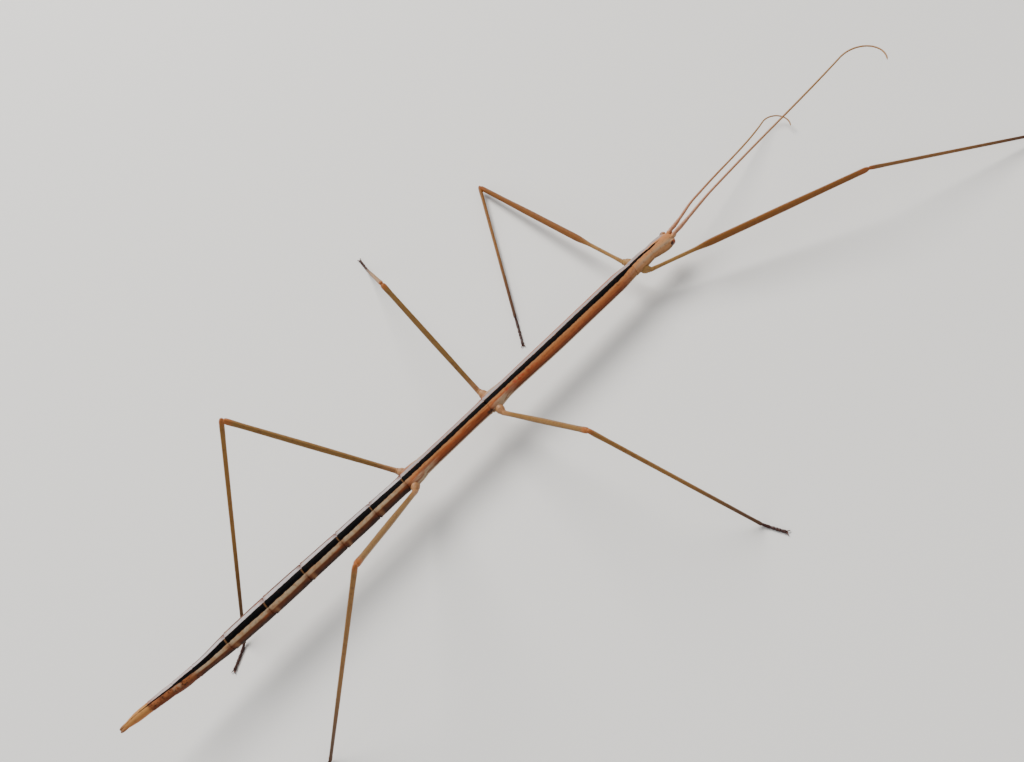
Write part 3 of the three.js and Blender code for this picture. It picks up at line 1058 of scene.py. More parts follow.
@dataclass
class Trunk:
    """Head, thorax and abdomen as one swept skin with real joints.

    Each of a joint's bells is a height, an offset from the joint and a spread.
    They are the groove, the lip ahead of it and the dip behind it.
    """

    axis: BodyAxis
    segment_ends: tuple[float, ...] = (
        4.3, 8.4, 40.75, 57.9, 64.1, 70.6, 77.4, 84.4, 91.8, 97.9, 101.3, 105.4, 109.9,
    )
    half_fused: float = 54.4
    widths: tuple[tuple[float, float], ...] = (
        (4.3, 1.26), (6.2, 1.38), (8.4, 1.32), (12, 1.54), (24, 1.52), (40, 1.38), (58, 1.42),
        (68, 1.58), (84, 1.7), (90, 1.6), (97.6, 1.12), (102, 0.94), (107, 0.78), (109.9, 0.42),
    )
    head_widths: tuple[tuple[float, float], ...] = (
        (-0.95, 0.05), (-0.93, 0.18), (-0.88, 0.32), (-0.8, 0.46), (-0.6, 0.74), (-0.1, 1.1),
        (0.5, 1.36), (1.2, 1.46), (2.0, 1.46), (3.0, 1.38), (4.3, 1.18),
    )
    head_heights: tuple[tuple[float, float], ...] = (
        (-0.95, 0.05), (-0.93, 0.2), (-0.88, 0.36), (-0.8, 0.5), (-0.6, 0.8), (-0.1, 1.15),
        (0.5, 1.32), (1.2, 1.38), (2.0, 1.34), (3.0, 1.26), (4.3, 1.08),
    )
    head_lifts: tuple[tuple[float, float], ...] = (
        (-0.83, -0.62), (-0.1, -0.5), (1.2, -0.36), (2.0, -0.26), (3.0, -0.12), (4.3, 0.0),
    )
    depth_ratio: float = 0.92
    flare: float = 0.4
    flare_spread: float = 1.7
    flare_stations: tuple[float, float] = (39.3, 56.3)
    sides: int = 48
    joint_bells: tuple[tuple[float, float, float], ...] = (
        (-0.1, 0.02, 0.07), (0.035, -0.22, 0.16), (-0.0175, 0.45, 0.3),
    )
    fused_bell: tuple[float, float, float] = (-0.04, 0.0, 0.1)
    joint_steps: tuple[float, ...] = (-0.5, -0.28, -0.12, -0.04, 0.02, 0.1, 0.24, 0.5)
    head_stations: tuple[float, ...] = (
        -0.95, -0.94, -0.91, -0.86, -0.8, -0.7, -0.58, -0.42, -0.22, 0.0, 0.3, 0.6, 0.95, 1.3,
        1.7, 2.1, 2.5, 2.9, 3.4,
    )
    tail_stations: tuple[float, ...] = (109.3, 109.55, 109.75, 109.86)
    ring_gap: float = 0.9
    round_start: float = 109.1
    round_length: float = 0.8
    round_least: float = 0.02

    def _stations(self) -> list[float]:
        """Chooses where the rings go.

        Returns:
            Stations from the head to the tail, close together at every joint.
        """
        places = {*self.head_stations, *self.tail_stations}
        for joint in (self.half_fused, *self.segment_ends[:-1]):
            places.update(round(joint + step, 3) for step in self.joint_steps)
        margin = self.joint_steps[-1]
        for start, end in zip(self.segment_ends, self.segment_ends[1:]):
            run = end - start - 2 * margin
            count = max(2, round(run / self.ring_gap))
            places.update(round(start + margin + run * i / count, 3) for i in range(count + 1))
        return sorted(place for place in places if place <= self.segment_ends[-1])

    def _relief(self, station: float) -> float:
        """Cuts a groove and raises a lip at each joint.

        Args:
            station: Distance back from the eyes.

        Returns:
            What the radius there is multiplied by.
        """
        factor = 1.0
        for joint in self.segment_ends[:-1]:
            for height, offset, spread in self.joint_bells:
                factor += height * bump(station, joint + offset, spread)
        height, offset, spread = self.fused_bell
        return factor + height * bump(station, self.half_fused + offset, spread)

    def _ring(self, station: float) -> Ring:
        """Shapes the cross-section at a station.

        Args:
            station: Distance back from the eyes.

        Returns:
            The ring, at its place along the straight axis.
        """
        lift = eased(self.axis.lift, station)
        if station < self.segment_ends[0]:
            width = eased(self.head_widths, station)
            height = eased(self.head_heights, station)
            lift += eased(self.head_lifts, station)
        else:
            width = eased(self.widths, station)
            height = width * self.depth_ratio
            hips = sum(bump(station, place, self.flare_spread) for place in self.flare_stations)
            width += self.flare * hips
        relief = self._relief(station)
        close = dome((station - self.round_start) / self.round_length, self.round_least)
        aside = eased(self.axis.bow, station)
        return Ring(-station, width * relief * close, height * relief * close, lift, aside)

    def build(self) -> bpy.types.Object:
        """Sweeps the trunk from the tail to the head.

        Returns:
            The trunk, in its place.
        """
        rings = [self._ring(station) for station in reversed(self._stations())]
        piece = Workbench.sweep("trunk", rings, self.sides)
        Workbench.place(piece, LEFTWARD, self.axis.up, self.axis.forward, self.axis.origin)
        return piece


@dataclass
class TailPlate:
    """The boat-shaped plate under the end of the abdomen, and the two cerci.

    The plate is full in its middle, by a half wave that starts at the first share
    of fullness and runs over the second. Breadth and thickness are each a first
    value and what full adds to it.
    """

    axis: BodyAxis
    trunk: Trunk
    start: float = 97.3
    end: float = 103.7
    steps: int = 18
    sides: int = 24
    half_width: float = 0.52
    drop: float = 0.4
    overlap: float = 0.06
    fullness: tuple[float, float] = (0.08, 0.84)
    breadth: tuple[float, float] = (0.3, 0.75)
    thickness: tuple[float, float] = (0.1, 0.28)
    cercus_station: float = 108.7
    cercus_side: float = 0.21
    cercus_inward: float = 0.01
    cercus_up: float = 0.05
    cercus_length: float = 1.65
    cercus_radius: float = 0.28
    cercus_steps: int = 8
    cercus_bluntness: int = 6
    cercus_least: float = 0.1

    def _plate(self) -> bpy.types.Object:
        """Sweeps the plate along the underside.

        Returns:
            The plate, in its place.
        """
        rings = []
        for i in range(self.steps + 1):
            t = i / self.steps
            station = self.end + (self.start - self.end) * t
            full = math.sin(math.pi * (self.fullness[0] + self.fullness[1] * t))
            belly = eased(self.trunk.widths, station) * self.trunk.depth_ratio
            lift = self.overlap - belly - self.drop * full + eased(self.axis.lift, station)
            width = self.half_width * (self.breadth[0] + self.breadth[1] * full)
            height = self.thickness[0] + self.thickness[1] * full
            rings.append(Ring(-station, width, height, lift, eased(self.axis.bow, station)))
        plate = Workbench.sweep("tail_plate", rings, self.sides)
        Workbench.place(plate, LEFTWARD, self.axis.up, self.axis.forward, self.axis.origin)
        return plate

    def _cercus(self, side: Side) -> bpy.types.Object:
        """Makes one blunt cercus.

        Args:
            side: Which of the two.

        Returns:
            The cercus, in its place.
        """
        tip_station = self.cercus_station + self.cercus_length
        tip_side = self.cercus_side - self.cercus_inward
        start = self.axis.point(self.cercus_station, side.value * self.cercus_side, self.cercus_up)
        end = self.axis.point(tip_station, side.value * tip_side, 0.0)
        points = []
        radii = []
        for i in range(self.cercus_steps + 1):
            points.append(start.lerp(end, i / self.cercus_steps))
            past = i / (self.cercus_steps + 0.4)
            close = dome(past, self.cercus_least, power=self.cercus_bluntness)
            radii.append(self.cercus_radius * close)
        cercus = Workbench.rod(f"cercus_{side.word}", points, radii)
        Workbench.to_metres(cercus)
        return cercus

    def build(self) -> list[bpy.types.Object]:
        """Makes the plate and both cerci."""
        return [self._plate(), *(self._cercus(side) for side in Side)]


@dataclass(frozen=True)
class Bead:
    """A ball on the head: its radii, its station, side and height, and its fineness."""

    radii: tuple[float, float, float]
    place: tuple[float, float, float]
    turns: int = 24


@dataclass
class Face:
    """Lip, jaws and palps at the front of the head, and the eyes."""

    axis: BodyAxis
    eye_station: float = 0.3
    eye_side: float = 1.14
    eye_up: float = -0.02
    eye_radius: float = 0.55
    eye_flatness: tuple[float, float] = (0.8, 0.96)
    eye_turns: int = 40
    lip: Bead = Bead((0.5, 0.34, 0.2), (-0.68, 0.0, -1.06))
    socket: Bead = Bead((0.42, 0.44, 0.6), (-0.6, 0.46, 0.28))
    eye_rim: Bead = Bead((0.24, 0.62, 0.7), (0.38, 1.06, -0.02), 28)
    jaw: Bead = Bead((0.24, 0.42, 0.18), (-0.46, 0.2, -1.2))
    long_palp: tuple[tuple[float, float, float], ...] = (
        (0.5, 0.5, -1.35), (0.2, 0.6, -1.72), (-0.25, 0.56, -1.84), (-0.6, 0.46, -1.74),
    )
    short_palp: tuple[tuple[float, float, float], ...] = (
        (0.4, 0.24, -1.4), (0.05, 0.3, -1.78), (-0.35, 0.26, -1.8),
    )
    palp_radius: float = 0.12
    palp_waist: float = 0.025
    palp_beat: float = 1.57

    def _seat(self, name: str, bead: Bead, sign: int) -> bpy.types.Object:
        """Makes one ball of the head and puts it in place.

        Args:
            name: The piece's name.
            bead: Its shape and place.
            sign: 1 for the left side, -1 for the right.

        Returns:
            The ball, in its place.
        """
        piece = Workbench.ball(name, bead.radii, bead.turns)
        station, left, up = bead.place
        self.axis.seat(piece, station, sign * left, up)
        return piece

    def _palp(
        self, name: str, route: Sequence[tuple[float, float, float]], side: Side,
    ) -> bpy.types.Object:
        """Makes one jointed palp under the head.

        Args:
            name: Which palp it is.
            route: Station, side and height of its bends.
            side: Which side of the head it is on.

        Returns:
            The palp, in its place.
        """
        bends = [self.axis.point(station, side.value * left, up) for station, left, up in route]
        points = self._soften(bends)
        beats = [math.sin(i * self.palp_beat) ** 2 for i in range(len(points))]
        radii = [self.palp_radius - self.palp_waist * beat for beat in beats]
        palp = Workbench.rod(f"{name}_{side.word}", points, radii)
        Workbench.to_metres(palp)
        return palp

    def build_soft(self) -> list[bpy.types.Object]:
        """Makes the lip, the palps, the eye rims and the seats of the antennae.

        Returns:
            The parts, which all join the skin.
        """
        parts = [self._seat("lip", self.lip, 1)]
        for side in Side:
            parts.append(self._seat(f"antenna_socket_{side.word}", self.socket, side.value))
            parts.append(self._seat(f"eye_rim_{side.word}", self.eye_rim, side.value))
            parts.append(self._palp("palp_long", self.long_palp, side))
            parts.append(self._palp("palp_short", self.short_palp, side))
        return parts

    @staticmethod
    def _soften(points: Sequence[Vector]) -> list[Vector]:
        """Rounds a route's corners by cutting each twice.

        Args:
            points: The route.

        Returns:
            The rounder route, between the same two ends.
        """
        points = list(points)
        for _ in range(2):
            cut = [points[0]]
            for a, b in zip(points, points[1:]):
                cut += [a.lerp(b, 0.25), a.lerp(b, 0.75)]
            points = cut + [points[-1]]
        return points

    def build_jaws(self) -> bpy.types.Object:
        """Makes the two mandibles behind the lip.

        Returns:
            Both jaws, as one piece.
        """
        jaws = [self._seat(f"jaw_{side.word}", self.jaw, side.value) for side in Side]
        piece = Workbench.join("jaws", jaws)
        Workbench.smooth(piece, HORN_CREASE_DEG)
        return piece

    def build_eye(self, side: Side) -> bpy.types.Object:
        """Makes one compound eye, seated half in the head.

        Args:
            side: Which of the two.

        Returns:
            The eye, in its place.
        """
        across, upwards = self.eye_flatness
        radii = (self.eye_radius * across, self.eye_radius * upwards, self.eye_radius)
        bead = Bead(radii, (self.eye_station, self.eye_side, self.eye_up), self.eye_turns)
        eye = self._seat(f"eye_dome_{side.word}", bead, side.value)
        Workbench.smooth(eye, EYE_CREASE_DEG)
        self.axis.mark(eye, ())
        return eye


# ---- Legs ---------------------------------------------------------------------------


@dataclass(frozen=True)
class LegSize:
    """The sizes that a pair of legs shares.

    The hip is a station, a distance out and a height. Radii are by the share of
    the length that lies behind.
    """

    hip: tuple[float, float, float]
    femur: float
    tibia: float
    tarsus: float
    femur_radii: tuple[tuple[float, float], ...]
    tibia_radii: tuple[tuple[float, float], ...]


LEG_SIZES = {
    Pair.FRONT: LegSize(
        (7.6, 1.3, -0.9), 37.8, 30.5, 6.0,
        (
            (0, 0.4), (0.06, 0.33), (0.2, 0.35), (0.3, 0.62), (0.6, 0.6), (0.85, 0.5),
            (0.96, 0.48), (1, 0.5),
        ),
        ((0, 0.3), (0.03, 0.34), (0.12, 0.3), (0.6, 0.27), (1, 0.24)),
    ),
    Pair.MIDDLE: LegSize(
        (40.0, 1.7, -0.9), 24.2, 29.1, 3.8,
        ((0, 0.44), (0.1, 0.41), (0.5, 0.46), (0.9, 0.42), (0.97, 0.47), (1, 0.47)),
        ((0, 0.32), (0.03, 0.36), (0.12, 0.32), (0.6, 0.29), (1, 0.25)),
    ),
    Pair.HIND: LegSize(
        (57.0, 1.7, -0.9), 28.3, 37.0, 4.6,
        ((0, 0.46), (0.1, 0.42), (0.5, 0.48), (0.9, 0.44), (0.97, 0.49), (1, 0.49)),
        ((0, 0.34), (0.03, 0.38), (0.12, 0.34), (0.6, 0.31), (1, 0.25)),
    ),
}

# Femur azimuth and rise, and tibia azimuth, in degrees.
LEG_POSES = {
    (Pair.FRONT, Side.LEFT): (95.5, -5.4, 241.5),
    (Pair.FRONT, Side.RIGHT): (25.4, 6.1, 26.1),
    (Pair.MIDDLE, Side.LEFT): (89.4, 36.3, 84),
    (Pair.MIDDLE, Side.RIGHT): (75.5, 35.5, 63.7),
    (Pair.HIND, Side.LEFT): (131.2, 45.4, 212),
    (Pair.HIND, Side.RIGHT): (125.8, 51.7, 168.1),
}


@dataclass
class Leg:
    """One leg: coxa, trochanter, femur, tibia, five-part foot and two claws.

    The coxa's root is its station ahead of the hip, its share of the hip's
    distance out, and its height.
    """

    axis: BodyAxis
    pair: Pair
    side: Side
    sides: int = 16
    keels: int = 4
    keel_height: float = 1.09
    flatness: float = 0.92
    coxa_root: tuple[float, float, float] = (0.4, 0.36, -0.42)
    coxa_reach: float = 1.65
    coxa_steps: int = 24
    coxa_sides: int = 28
    coxa_outline: tuple[tuple[float, float], ...] = (
        (0, 0.5), (0.4, 0.84), (0.64, 0.78), (0.82, 0.6), (0.87, 0.5), (0.92, 0.56), (1.0, 0.42),
    )
    femur_overlap: float = 0.15
    femur_short: float = 0.12
    femur_steps: int = 60
    femur_ends: tuple[float, ...] = (0.965, 0.975, 0.985, 0.992, 0.997, 1.0)
    knee_round: tuple[float, float] = (0.975, 0.025)
    knee_close: tuple[float, float] = (0.16, 0.84)
    tibia_overlap: float = 0.28
    tibia_extra: float = 0.36
    tibia_steps: int = 55
    tibia_starts: tuple[float, ...] = (0, 0.003, 0.008, 0.014)
    tibia_ends: tuple[float, ...] = (0.985, 0.994, 1.0)
    tibia_round: float = 0.012
    tibia_close: tuple[float, float] = (0.2, 0.8)
    tibia_swell: tuple[float, float, float] = (0.12, 0.985, 0.01)
    ankle_height: float = 0.55
    foot_radius: float = 0.25
    foot_height: float = 0.22
    foot_short: float = 0.25
    foot_overlap: float = 0.1
    foot_settling: float = 1.1
    foot_tallness: float = 1.02
    foot_parts: tuple[float, ...] = (0.0, 0.4, 0.57, 0.69, 0.78, 1.0)
    foot_steps: tuple[float, ...] = (0.04, 0.2, 0.45, 0.7, 0.88, 0.97, 1.0)
    foot_waist: float = 0.78
    foot_flare: float = 0.3
    foot_notch: float = 0.05
    sole_height: float = 0.002
    claw_seat: float = 0.42
    claw_steps: int = 10
    claw_roundness: int = 3
    claw_turns: tuple[float, float] = (1.5, 1.9)
    claw_taper: tuple[float, float] = (0.85, 1.4)
    claw_radius: float = 0.095
    claw_gap: float = 0.06
    claw_spread: float = 0.34
    claw_reach: float = 0.52
    claw_arch: float = 0.1
    claw_drop: float = 0.13
    pad_radii: tuple[float, float, float] = (0.15, 0.12, 0.2)
    pad_ahead: float = 0.12
    pad_below: float = 0.08
    hip: Vector = field(init=False)
    knee: Vector = field(init=False)
    ankle: Vector = field(init=False)
    femur_way: Vector = field(init=False)
    tibia_way: Vector = field(init=False)
    foot_way: Vector = field(init=False)

    def __post_init__(self) -> None:
        """Works out where the joints are."""
        size = LEG_SIZES[self.pair]
        femur_azimuth, femur_rise, tibia_azimuth = LEG_POSES[(self.pair, self.side)]
        sign = self.side.value
        station, out, up = size.hip
        self.hip = self.axis.point(station, sign * out, up)
        self.femur_way = heading(femur_azimuth, femur_rise, sign)
        self.knee = self.hip + self.femur_way * size.femur
        fall = math.degrees(math.asin((self.knee.z - self.ankle_height) / size.tibia))
        self.tibia_way = heading(tibia_azimuth, -fall, sign)
        self.ankle = self.knee + self.tibia_way * size.tibia
        self.foot_way = heading(tibia_azimuth, 0, sign)

    @property
    def word(self) -> str:
        """The leg's name as node names spell it."""
        return f"{self.pair.value}_{self.side.word}"

    @staticmethod
    def _frame(way: Vector, guide: Vector) -> tuple[Vector, Vector]:
        """Across and up vectors for a length, with up near a guide."""
        across = guide.cross(way).normalized()
        return across, way.cross(across)

    def _length(
        self, name: str, start: Vector, way: Vector, rings: Sequence[Ring], sides: int, keels: int,
        guide: Vector, marks: tuple[float, float],
    ) -> bpy.types.Object:
        """Sweeps one straight length of the leg and puts it in place.

        Args:
            name: Which length it is.
            start: Where it begins.
            way: The way it points.
            rings: Its cross-sections.
            sides: Corners of its section.
            keels: Lengthwise keels on it.
            guide: A direction that its upper side faces.
            marks: The values along it that the finish reads, at its start and its end.

        Returns:
            The length, in its place.
        """
        piece = Workbench.sweep(f"{name}_{self.word}", rings, sides, keels, self.keel_height)
        across, up = self._frame(way, guide)
        Workbench.place(piece, across, up, way, start)
        end = start + way * rings[-1].along
        Workbench.mark_along(piece, [start, end], *marks)
        return piece

    def _coxa(self) -> bpy.types.Object:
        """Makes the coxa, with the small ring of the trochanter at its end.

        Returns:
            The coxa, in its place.
        """
        station, out, _ = LEG_SIZES[self.pair].hip
        ahead, share, up = self.coxa_root
        root = self.axis.point(station - ahead, self.side.value * out * share, up)
        end = self.hip + self.femur_way * self.coxa_reach
        way = (end - root).normalized()
        reach = (end - root).length
        rings = []
        for i in range(self.coxa_steps + 1):
            t = i / self.coxa_steps
            radius = eased(self.coxa_outline, t)
            rings.append(Ring(reach * t, radius * self.flatness, radius))
        return self._length("coxa", root, way, rings, self.coxa_sides, 0, UPWARD, (-0.1, 0.0))

    def _femur(self) -> bpy.types.Object:
        """Makes the femur, with a swollen knee that rounds off.

        Returns:
            The femur, in its place.
        """
        size = LEG_SIZES[self.pair]
        seat = self.coxa_reach - self.femur_overlap
        start = self.hip + self.femur_way * seat
        reach = size.femur - seat - self.femur_short
        round_start, round_length = self.knee_round
        rings = []
        for t in (*(i / self.femur_steps for i in range(self.femur_steps - 2)), *self.femur_ends):
            radius = eased(size.femur_radii, t)
            close = dome((t - round_start) / round_length, *self.knee_close)
            rings.append(Ring(reach * t, radius * self.flatness * close, radius * close))
        way = self.femur_way
        return self._length("femur", start, way, rings, self.sides, self.keels, UPWARD, (0.02, 1.0))

    def _tibia(self) -> bpy.types.Object:
        """Makes the tibia, from a knobbed head at the knee to the ankle.

        Returns:
            The tibia, in its place.
        """
        size = LEG_SIZES[self.pair]
        start = self.knee - self.tibia_way * self.tibia_overlap
        reach = size.tibia + self.tibia_extra
        middles = [i / self.tibia_steps for i in range(1, self.tibia_steps - 1)]
        height, centre, spread = self.tibia_swell
        rings = []
        for t in (*self.tibia_starts, *middles, *self.tibia_ends):
            close = dome(1 - t / self.tibia_round, *self.tibia_close)
            radius = eased(size.tibia_radii, t) * close * (1 + height * bump(t, centre, spread))
            rings.append(Ring(reach * t, radius, radius))
        way, guide = self.tibia_way, self.foot_way
        return self._length("tibia", start, way, rings, self.sides, self.keels, guide, (1.0, 2.0))

    def _foot(self) -> bpy.types.Object:
        """Makes five foot parts, each wider at its far end, cut flat on the ground.

        Returns:
            The foot, in its place.
        """
        reach = LEG_SIZES[self.pair].tarsus - self.foot_short
        places = {0.0}
        for begin, end in zip(self.foot_parts, self.foot_parts[1:]):
            places.update(round(begin + (end - begin) * part, 4) for part in self.foot_steps)
        rings = []
        for t in sorted(places):
            along = reach * t - self.foot_overlap
            settled = ease(along / self.foot_settling)
            lift = self.ankle_height + (self.foot_height - self.ankle_height) * settled
            radius = self.foot_radius * self._foot_shape(t)
            rings.append(Ring(along, radius, radius * self.foot_tallness, lift))
        piece = Workbench.sweep(f"tarsus_{self.word}", rings, self.sides)
        Workbench.pick(piece)
        bpy.ops.object.mode_set(mode="EDIT")
        bpy.ops.mesh.select_all(action="SELECT")
        bpy.ops.mesh.bisect(
            plane_co=(0, self.sole_height, 0), plane_no=(0, -1, 0), clear_outer=True, use_fill=True
        )
        bpy.ops.object.mode_set(mode="OBJECT")
        across, up = self._frame(self.foot_way, UPWARD)
        origin = Vector((self.ankle.x, self.ankle.y, 0))
        Workbench.place(piece, across, up, self.foot_way, origin)
        Workbench.mark_along(piece, [origin, origin + self.foot_way * reach], 2.0, 3.0)
        return piece

    def _foot_shape(self, t: float) -> float:
        """Narrows the foot at each of its joints and widens it before them.

        Args:
            t: The share of the foot that lies behind.

        Returns:
            What the radius there is multiplied by.
        """
        for begin, end in zip(self.foot_parts, self.foot_parts[1:]):
            if t <= end:
                part = (t - begin) / (end - begin)
                flare = self.foot_flare * ease(part)
                return self.foot_waist + flare - self.foot_flare * bump(part, 1.0, self.foot_notch)
        return self.foot_waist

    def build_skin(self) -> list[bpy.types.Object]:
        """Makes all the skinned parts of the leg."""
        return [self._coxa(), self._femur(), self._tibia(), self._foot()]

    def _claw(self, toe: Vector, across: Vector) -> bpy.types.Object:
        """Makes one claw, curving out and ahead of the toe.

        Args:
            toe: Where it grows.
            across: The way it curves out.

        Returns:
            The claw, in its place.
        """
        out_turn, ahead_turn = self.claw_turns
        loss, power = self.claw_taper
        points = []
        radii = []
        for i in range(self.claw_steps + 1):
            t = i / self.claw_steps
            out = self.claw_gap + self.claw_spread * math.sin(t * out_turn)
            ahead = self.claw_reach * math.sin(t * ahead_turn)
            drop = self.claw_arch * math.sin(t * math.pi) - self.claw_drop * t
            points.append(toe + across * out + self.foot_way * ahead + Vector((0, 0, drop)))
            radii.append(self.claw_radius * (1 - loss * t**power))
        claw = Workbench.rod(f"claw_{self.word}", points, radii, self.claw_roundness)
        Workbench.to_metres(claw)
        return claw

    def build_claws(self) -> bpy.types.Object:
        """Makes two curved claws and the pad between them, at the toe.

        Returns:
            Claws and pad, as one piece.
        """
        toe = self.ankle + self.foot_way * (LEG_SIZES[self.pair].tarsus - self.claw_seat)
        toe.z = self.foot_height
        across, up = self._frame(self.foot_way, UPWARD)
        claws = [self._claw(toe, across), self._claw(toe, -across)]
        pad = Workbench.ball(f"pad_{self.word}", self.pad_radii, self.sides)
        middle = toe + self.foot_way * self.pad_ahead - UPWARD * self.pad_below
        Workbench.place(pad, across, up, self.foot_way, middle)
        piece = Workbench.join(f"claws_{self.word}", [*claws, pad])
        Workbench.smooth(piece, HORN_CREASE_DEG)
        return piece


# ---- Antennae -------------------------------------------------------------------------


@dataclass(frozen=True)
class AntennaCourse:
    """Where an antenna heads: its start, how it drifts, and the curl at its tip.

    Angles are degrees. The arch is how far it bows leftwards and upwards.
    """

    azimuth: float
    rise: float
    drift: float
    sag: float
    curl: float
    dip: float
    length: float
    curl_start: float
    arch: tuple[float, float]


ANTENNA_COURSES = {
    Side.RIGHT: AntennaCourse(-6.3, 17.5, 2.5, -1.3, -135, -17, 45.2, 0.8, (0.35, 0.25)),
    Side.LEFT: AntennaCourse(6.6, -6.3, 11.5, -3.1, -155, 8, 36, 0.82, (0.5, 0.6)),
}


@dataclass
class Antenna:
    """A ringed antenna: scape, pedicel and a long row of small joints.

    Swell is the share of its course's arch along the length, and seat is how far
    the part near the head is lifted.
    """

    axis: BodyAxis
    side: Side
    base: tuple[float, float, float] = (-1.02, 0.47, 0.3)
    root_station: float = -0.4
    swell: tuple[tuple[float, float], ...] = ((0, 0.0), (0.2, 1.0), (0.28, 1.0), (0.8, 0.0))
    seat: tuple[tuple[float, float], ...] = ((0.1, 0.3), (0.8, 0.0))
    steps: int = 60
    fineness: int = 4
    joints: int = 34
    roundness: int = 3
    waist: float = 0.09
    waist_start: float = 0.8
    tip_round: tuple[float, float] = (0.985, 0.015)
    tip_least: float = 0.1
    radii: tuple[tuple[float, float], ...] = (
        (0, 0.34), (0.03, 0.36), (0.055, 0.31), (0.075, 0.26), (0.095, 0.27), (0.2, 0.21),
        (0.6, 0.17), (1, 0.12),
    )

    def _route(self) -> list[Vector]:
        """Draws the antenna's curve.

        Returns:
            Its points, finely divided.
        """
        course = ANTENNA_COURSES[self.side]
        station, side, up = self.base
        points = [self.axis.point(station, self.side.value * side, up)]
        count = self.steps * self.fineness
        for i in range(count):
            t = (i // self.fineness + 0.5) / self.steps
            smooth_t = (i + 0.5) / count
            curled = max(0.0, (smooth_t - course.curl_start) / (1 - course.curl_start))
            azimuth = course.azimuth + course.drift * t + course.curl * curled
            rise = course.rise + course.sag * t + course.dip * curled
            points.append(points[-1] + heading(azimuth, rise, 1) * (course.length / count))
        leftward, upward = course.arch
        arch = LEFTWARD * leftward + self.axis.up * upward
        return [
            point + arch * eased(self.swell, i / count) + self.axis.up * eased(self.seat, i / count)
            for i, point in enumerate(points)
        ]

    def build(self) -> bpy.types.Object:
        """Makes the antenna with a waist at each of its joints.

        Returns:
            The antenna, in its place.
        """
        points = self._route()
        inside = self.axis.point(self.root_station, self.side.value * self.base[1], self.base[2])
        tip_start, tip_length = self.tip_round
        radii = []
        for i in range(len(points)):
            t = i / (len(points) - 1)
            wave = math.sin(math.tau * self.joints * t)
            waist = max(0.0, wave - self.waist_start) / (1 - self.waist_start)
            tip = dome((t - tip_start) / tip_length, self.tip_least)
            radii.append(eased(self.radii, t) * (1 - self.waist * waist) * tip)
        name = f"antenna_{self.side.word}"
        piece = Workbench.rod(name, [inside, *points], [radii[0], *radii], self.roundness)
        Workbench.to_metres(piece)
        Workbench.mark_along(piece, points[:: self.fineness], 0.0, 1.0)
        return piece


# ---- Studio -----------------------------------------------------------------------------


@dataclass(frozen=True)
class Lamp:
    """One light, aimed at the origin. Its place and its disc's width are millimetres."""

    kind: str
    name: str
    place: tuple[float, float, float]
    size: float
    power: float
    colour: tuple[float, float, float]


LAMPS = (
    Lamp("SUN", "daylight", (60, 330, 360), 0, 2.7, (1.0, 0.98, 0.95)),
    Lamp("AREA", "key", (60, 330, 360), 260, 1.7, (1.0, 0.98, 0.95)),
    Lamp("AREA", "fill", (120, -380, 260), 420, 0.5, (1.0, 0.97, 0.93)),
    Lamp("AREA", "rim", (-420, 60, 260), 300, 0.5, (0.93, 0.96, 1.0)),
)


@dataclass
class Studio:
    """The pale floor, the soft lights and the camera.

    The eye and the target move with the insect. Clips are metres.
    """

    shift: Vector
    eye: tuple[float, float, float] = (-5.92, -62.57, 113.44)
    target: tuple[float, float, float] = (9.70, -0.76, 7.0)
    roll_deg: float = 30.84
    lens: float = 27.98
    sensor: float = 36
    clips: tuple[float, float] = (0.001, 20)
    floor_size: float = 6000.0
    floor_tone: Colour = tone(232, 230, 226)
    daylight_angle_deg: float = 36
    sky_tone: Colour = tone(232, 236, 242)
    sky_strength: float = 0.38

    def build_camera(self) -> None:
        """Sets the camera at its place, leaning to one side."""
        bpy.ops.object.camera_add()
        camera = bpy.context.object
        eye = self.shift + Vector(self.eye)
        target = self.shift + Vector(self.target)
        turn = (target - eye).to_track_quat("-Z", "Y").to_matrix().to_4x4()
        lean = Matrix.Rotation(math.radians(-self.roll_deg), 4, "Z")
        camera.matrix_world = Matrix.Translation(eye * MM) @ turn @ lean
        camera.data.lens = self.lens
        camera.data.sensor_width = self.sensor
        camera.data.clip_start, camera.data.clip_end = self.clips
        bpy.context.scene.camera = camera

    def build_floor(self) -> None:
        """A plain pale floor."""
        Workbench.clear_selection()
        bpy.ops.mesh.primitive_plane_add(size=self.floor_size * MM)
        floor = bpy.context.object
        floor.name = "floor"
        paint = Paint("floor_card")
        floor.data.materials.append(paint.finish(self.floor_tone, 0.85, specular=0.15))

    def build_lights(self) -> None:
        """Soft light from the insect's left, a fill, a rim, and a pale sky."""
        for lamp in LAMPS:
            place = Vector(lamp.place)
            bpy.ops.object.light_add(type=lamp.kind, location=place * MM)
            light = bpy.context.object
            light.name = lamp.name
            if lamp.kind == "AREA":
                light.data.shape = "DISK"
                light.data.size = lamp.size * MM
            else:
                light.data.angle = math.radians(self.daylight_angle_deg)
            light.data.energy = lamp.power
            light.data.color = lamp.colour
            light.rotation_euler = (-place).to_track_quat("-Z", "Y").to_euler()
        world = bpy.data.worlds.new("studio")
        world.use_nodes = True
        sky = world.node_tree.nodes["Background"]
        sky.inputs["Color"].default_value = self.sky_tone
        sky.inputs["Strength"].default_value = self.sky_strength
        bpy.context.scene.world = world


# ---- The whole insect ----------------------------------------------------------------------


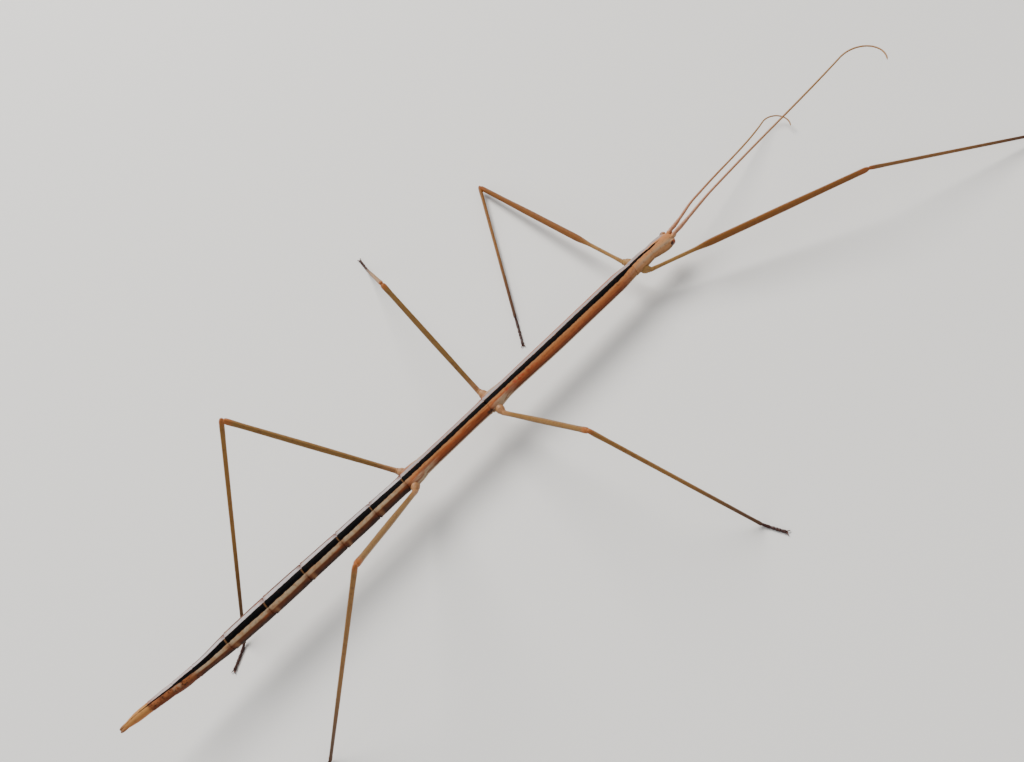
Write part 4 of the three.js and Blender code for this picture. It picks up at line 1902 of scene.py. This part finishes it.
class StickInsect:
    """Builds every piece, dresses it and hands it to the frame."""

    def __init__(self) -> None:
        """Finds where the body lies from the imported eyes."""
        face = Face(BodyAxis(Vector((0, 0, 0))))
        corners = [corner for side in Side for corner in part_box(f"eye_{side.word}")]
        centre = sum(corners, Vector((0, 0, 0))) / (len(corners) * MM)
        shift = centre - face.axis.point(face.eye_station, 0, face.eye_up)
        LOG.info("shift %s", tuple(round(value, 4) for value in shift))
        self.axis = BodyAxis(Vector((shift.x, shift.y, 0)))
        self.trunk = Trunk(self.axis)
        self.face = Face(self.axis)
        self.legs = [Leg(self.axis, pair, side) for pair in Pair for side in Side]
        self.antennae = [Antenna(self.axis, side) for side in Side]

    @staticmethod
    def _dress(parts: Sequence[bpy.types.Object], material: bpy.types.Material) -> None:
        """Gives each part one material.

        Args:
            parts: What is dressed.
            material: The finish they share.
        """
        for part in parts:
            part.data.materials.clear()
            part.data.materials.append(material)

    def build_skin(self) -> bpy.types.Object:
        """Makes the one skin of trunk, legs and antennae.

        Returns:
            The skin, dressed.
        """
        joints = self.trunk.segment_ends[3:9]
        tail = TailPlate(self.axis, self.trunk)
        trunk = [self.trunk.build(), *tail.build(), *self.face.build_soft()]
        for part in trunk:
            self.axis.mark(part, self.trunk.head_lifts)
        self._dress(trunk, TrunkFinish().make(joints))
        golden = GOLDEN_LEGS.make()
        rusty = RUSTY_FORELEGS.make()
        limbs = []
        for leg in self.legs:
            parts = leg.build_skin()
            self._dress(parts, rusty if leg.pair is Pair.FRONT else golden)
            limbs += parts
            LOG.info("leg %s", leg.word)
        feelers = [antenna.build() for antenna in self.antennae]
        self._dress(feelers, AntennaFinish().make())
        skin = Workbench.join("insect_skin", [*trunk, *limbs, *feelers])
        Workbench.smooth(skin, SKIN_CREASE_DEG)
        LOG.info("insect_skin: %d faces", len(skin.data.polygons))
        return skin

    @staticmethod
    def _hand_over(piece: bpy.types.Object, slot: str, nodes: Sequence[str] = ()) -> None:
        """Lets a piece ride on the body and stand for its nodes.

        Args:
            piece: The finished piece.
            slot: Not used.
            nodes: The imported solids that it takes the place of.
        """
        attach(piece, "root")
        if nodes:
            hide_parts(*nodes)
        LOG.info("%s stands for %d nodes", piece.name, len(nodes))

    def build(self, nodes: Sequence[str]) -> None:
        """Builds and hands over every piece.

        Args:
            nodes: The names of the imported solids.
        """
        flesh = [node for node in nodes if not node.startswith("eye_")]
        self._hand_over(self.build_skin(), "thorax", flesh)
        horn = HornFinish().make()
        jaws = self.face.build_jaws()
        self._dress([jaws], horn)
        self._hand_over(jaws, "head")
        glass = EyeFinish().make()
        for side in Side:
            eye = self.face.build_eye(side)
            self._dress([eye], glass)
            self._hand_over(eye, "eye", [f"eye_{side.word}"])
        for leg in self.legs:
            claws = leg.build_claws()
            self._dress([claws], horn)
            self._hand_over(claws, "tarsus")


def main() -> None:
    """Builds the studio and the insect."""
    logging.basicConfig(level=logging.INFO, format="%(name)s: %(message)s")
    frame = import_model()
    insect = StickInsect()
    studio = Studio(insect.axis.shift)
    studio.build_camera()
    studio.build_floor()
    studio.build_lights()
    insect.build(sorted(frame["nodes"]))


if __name__ == "__main__":
    main()
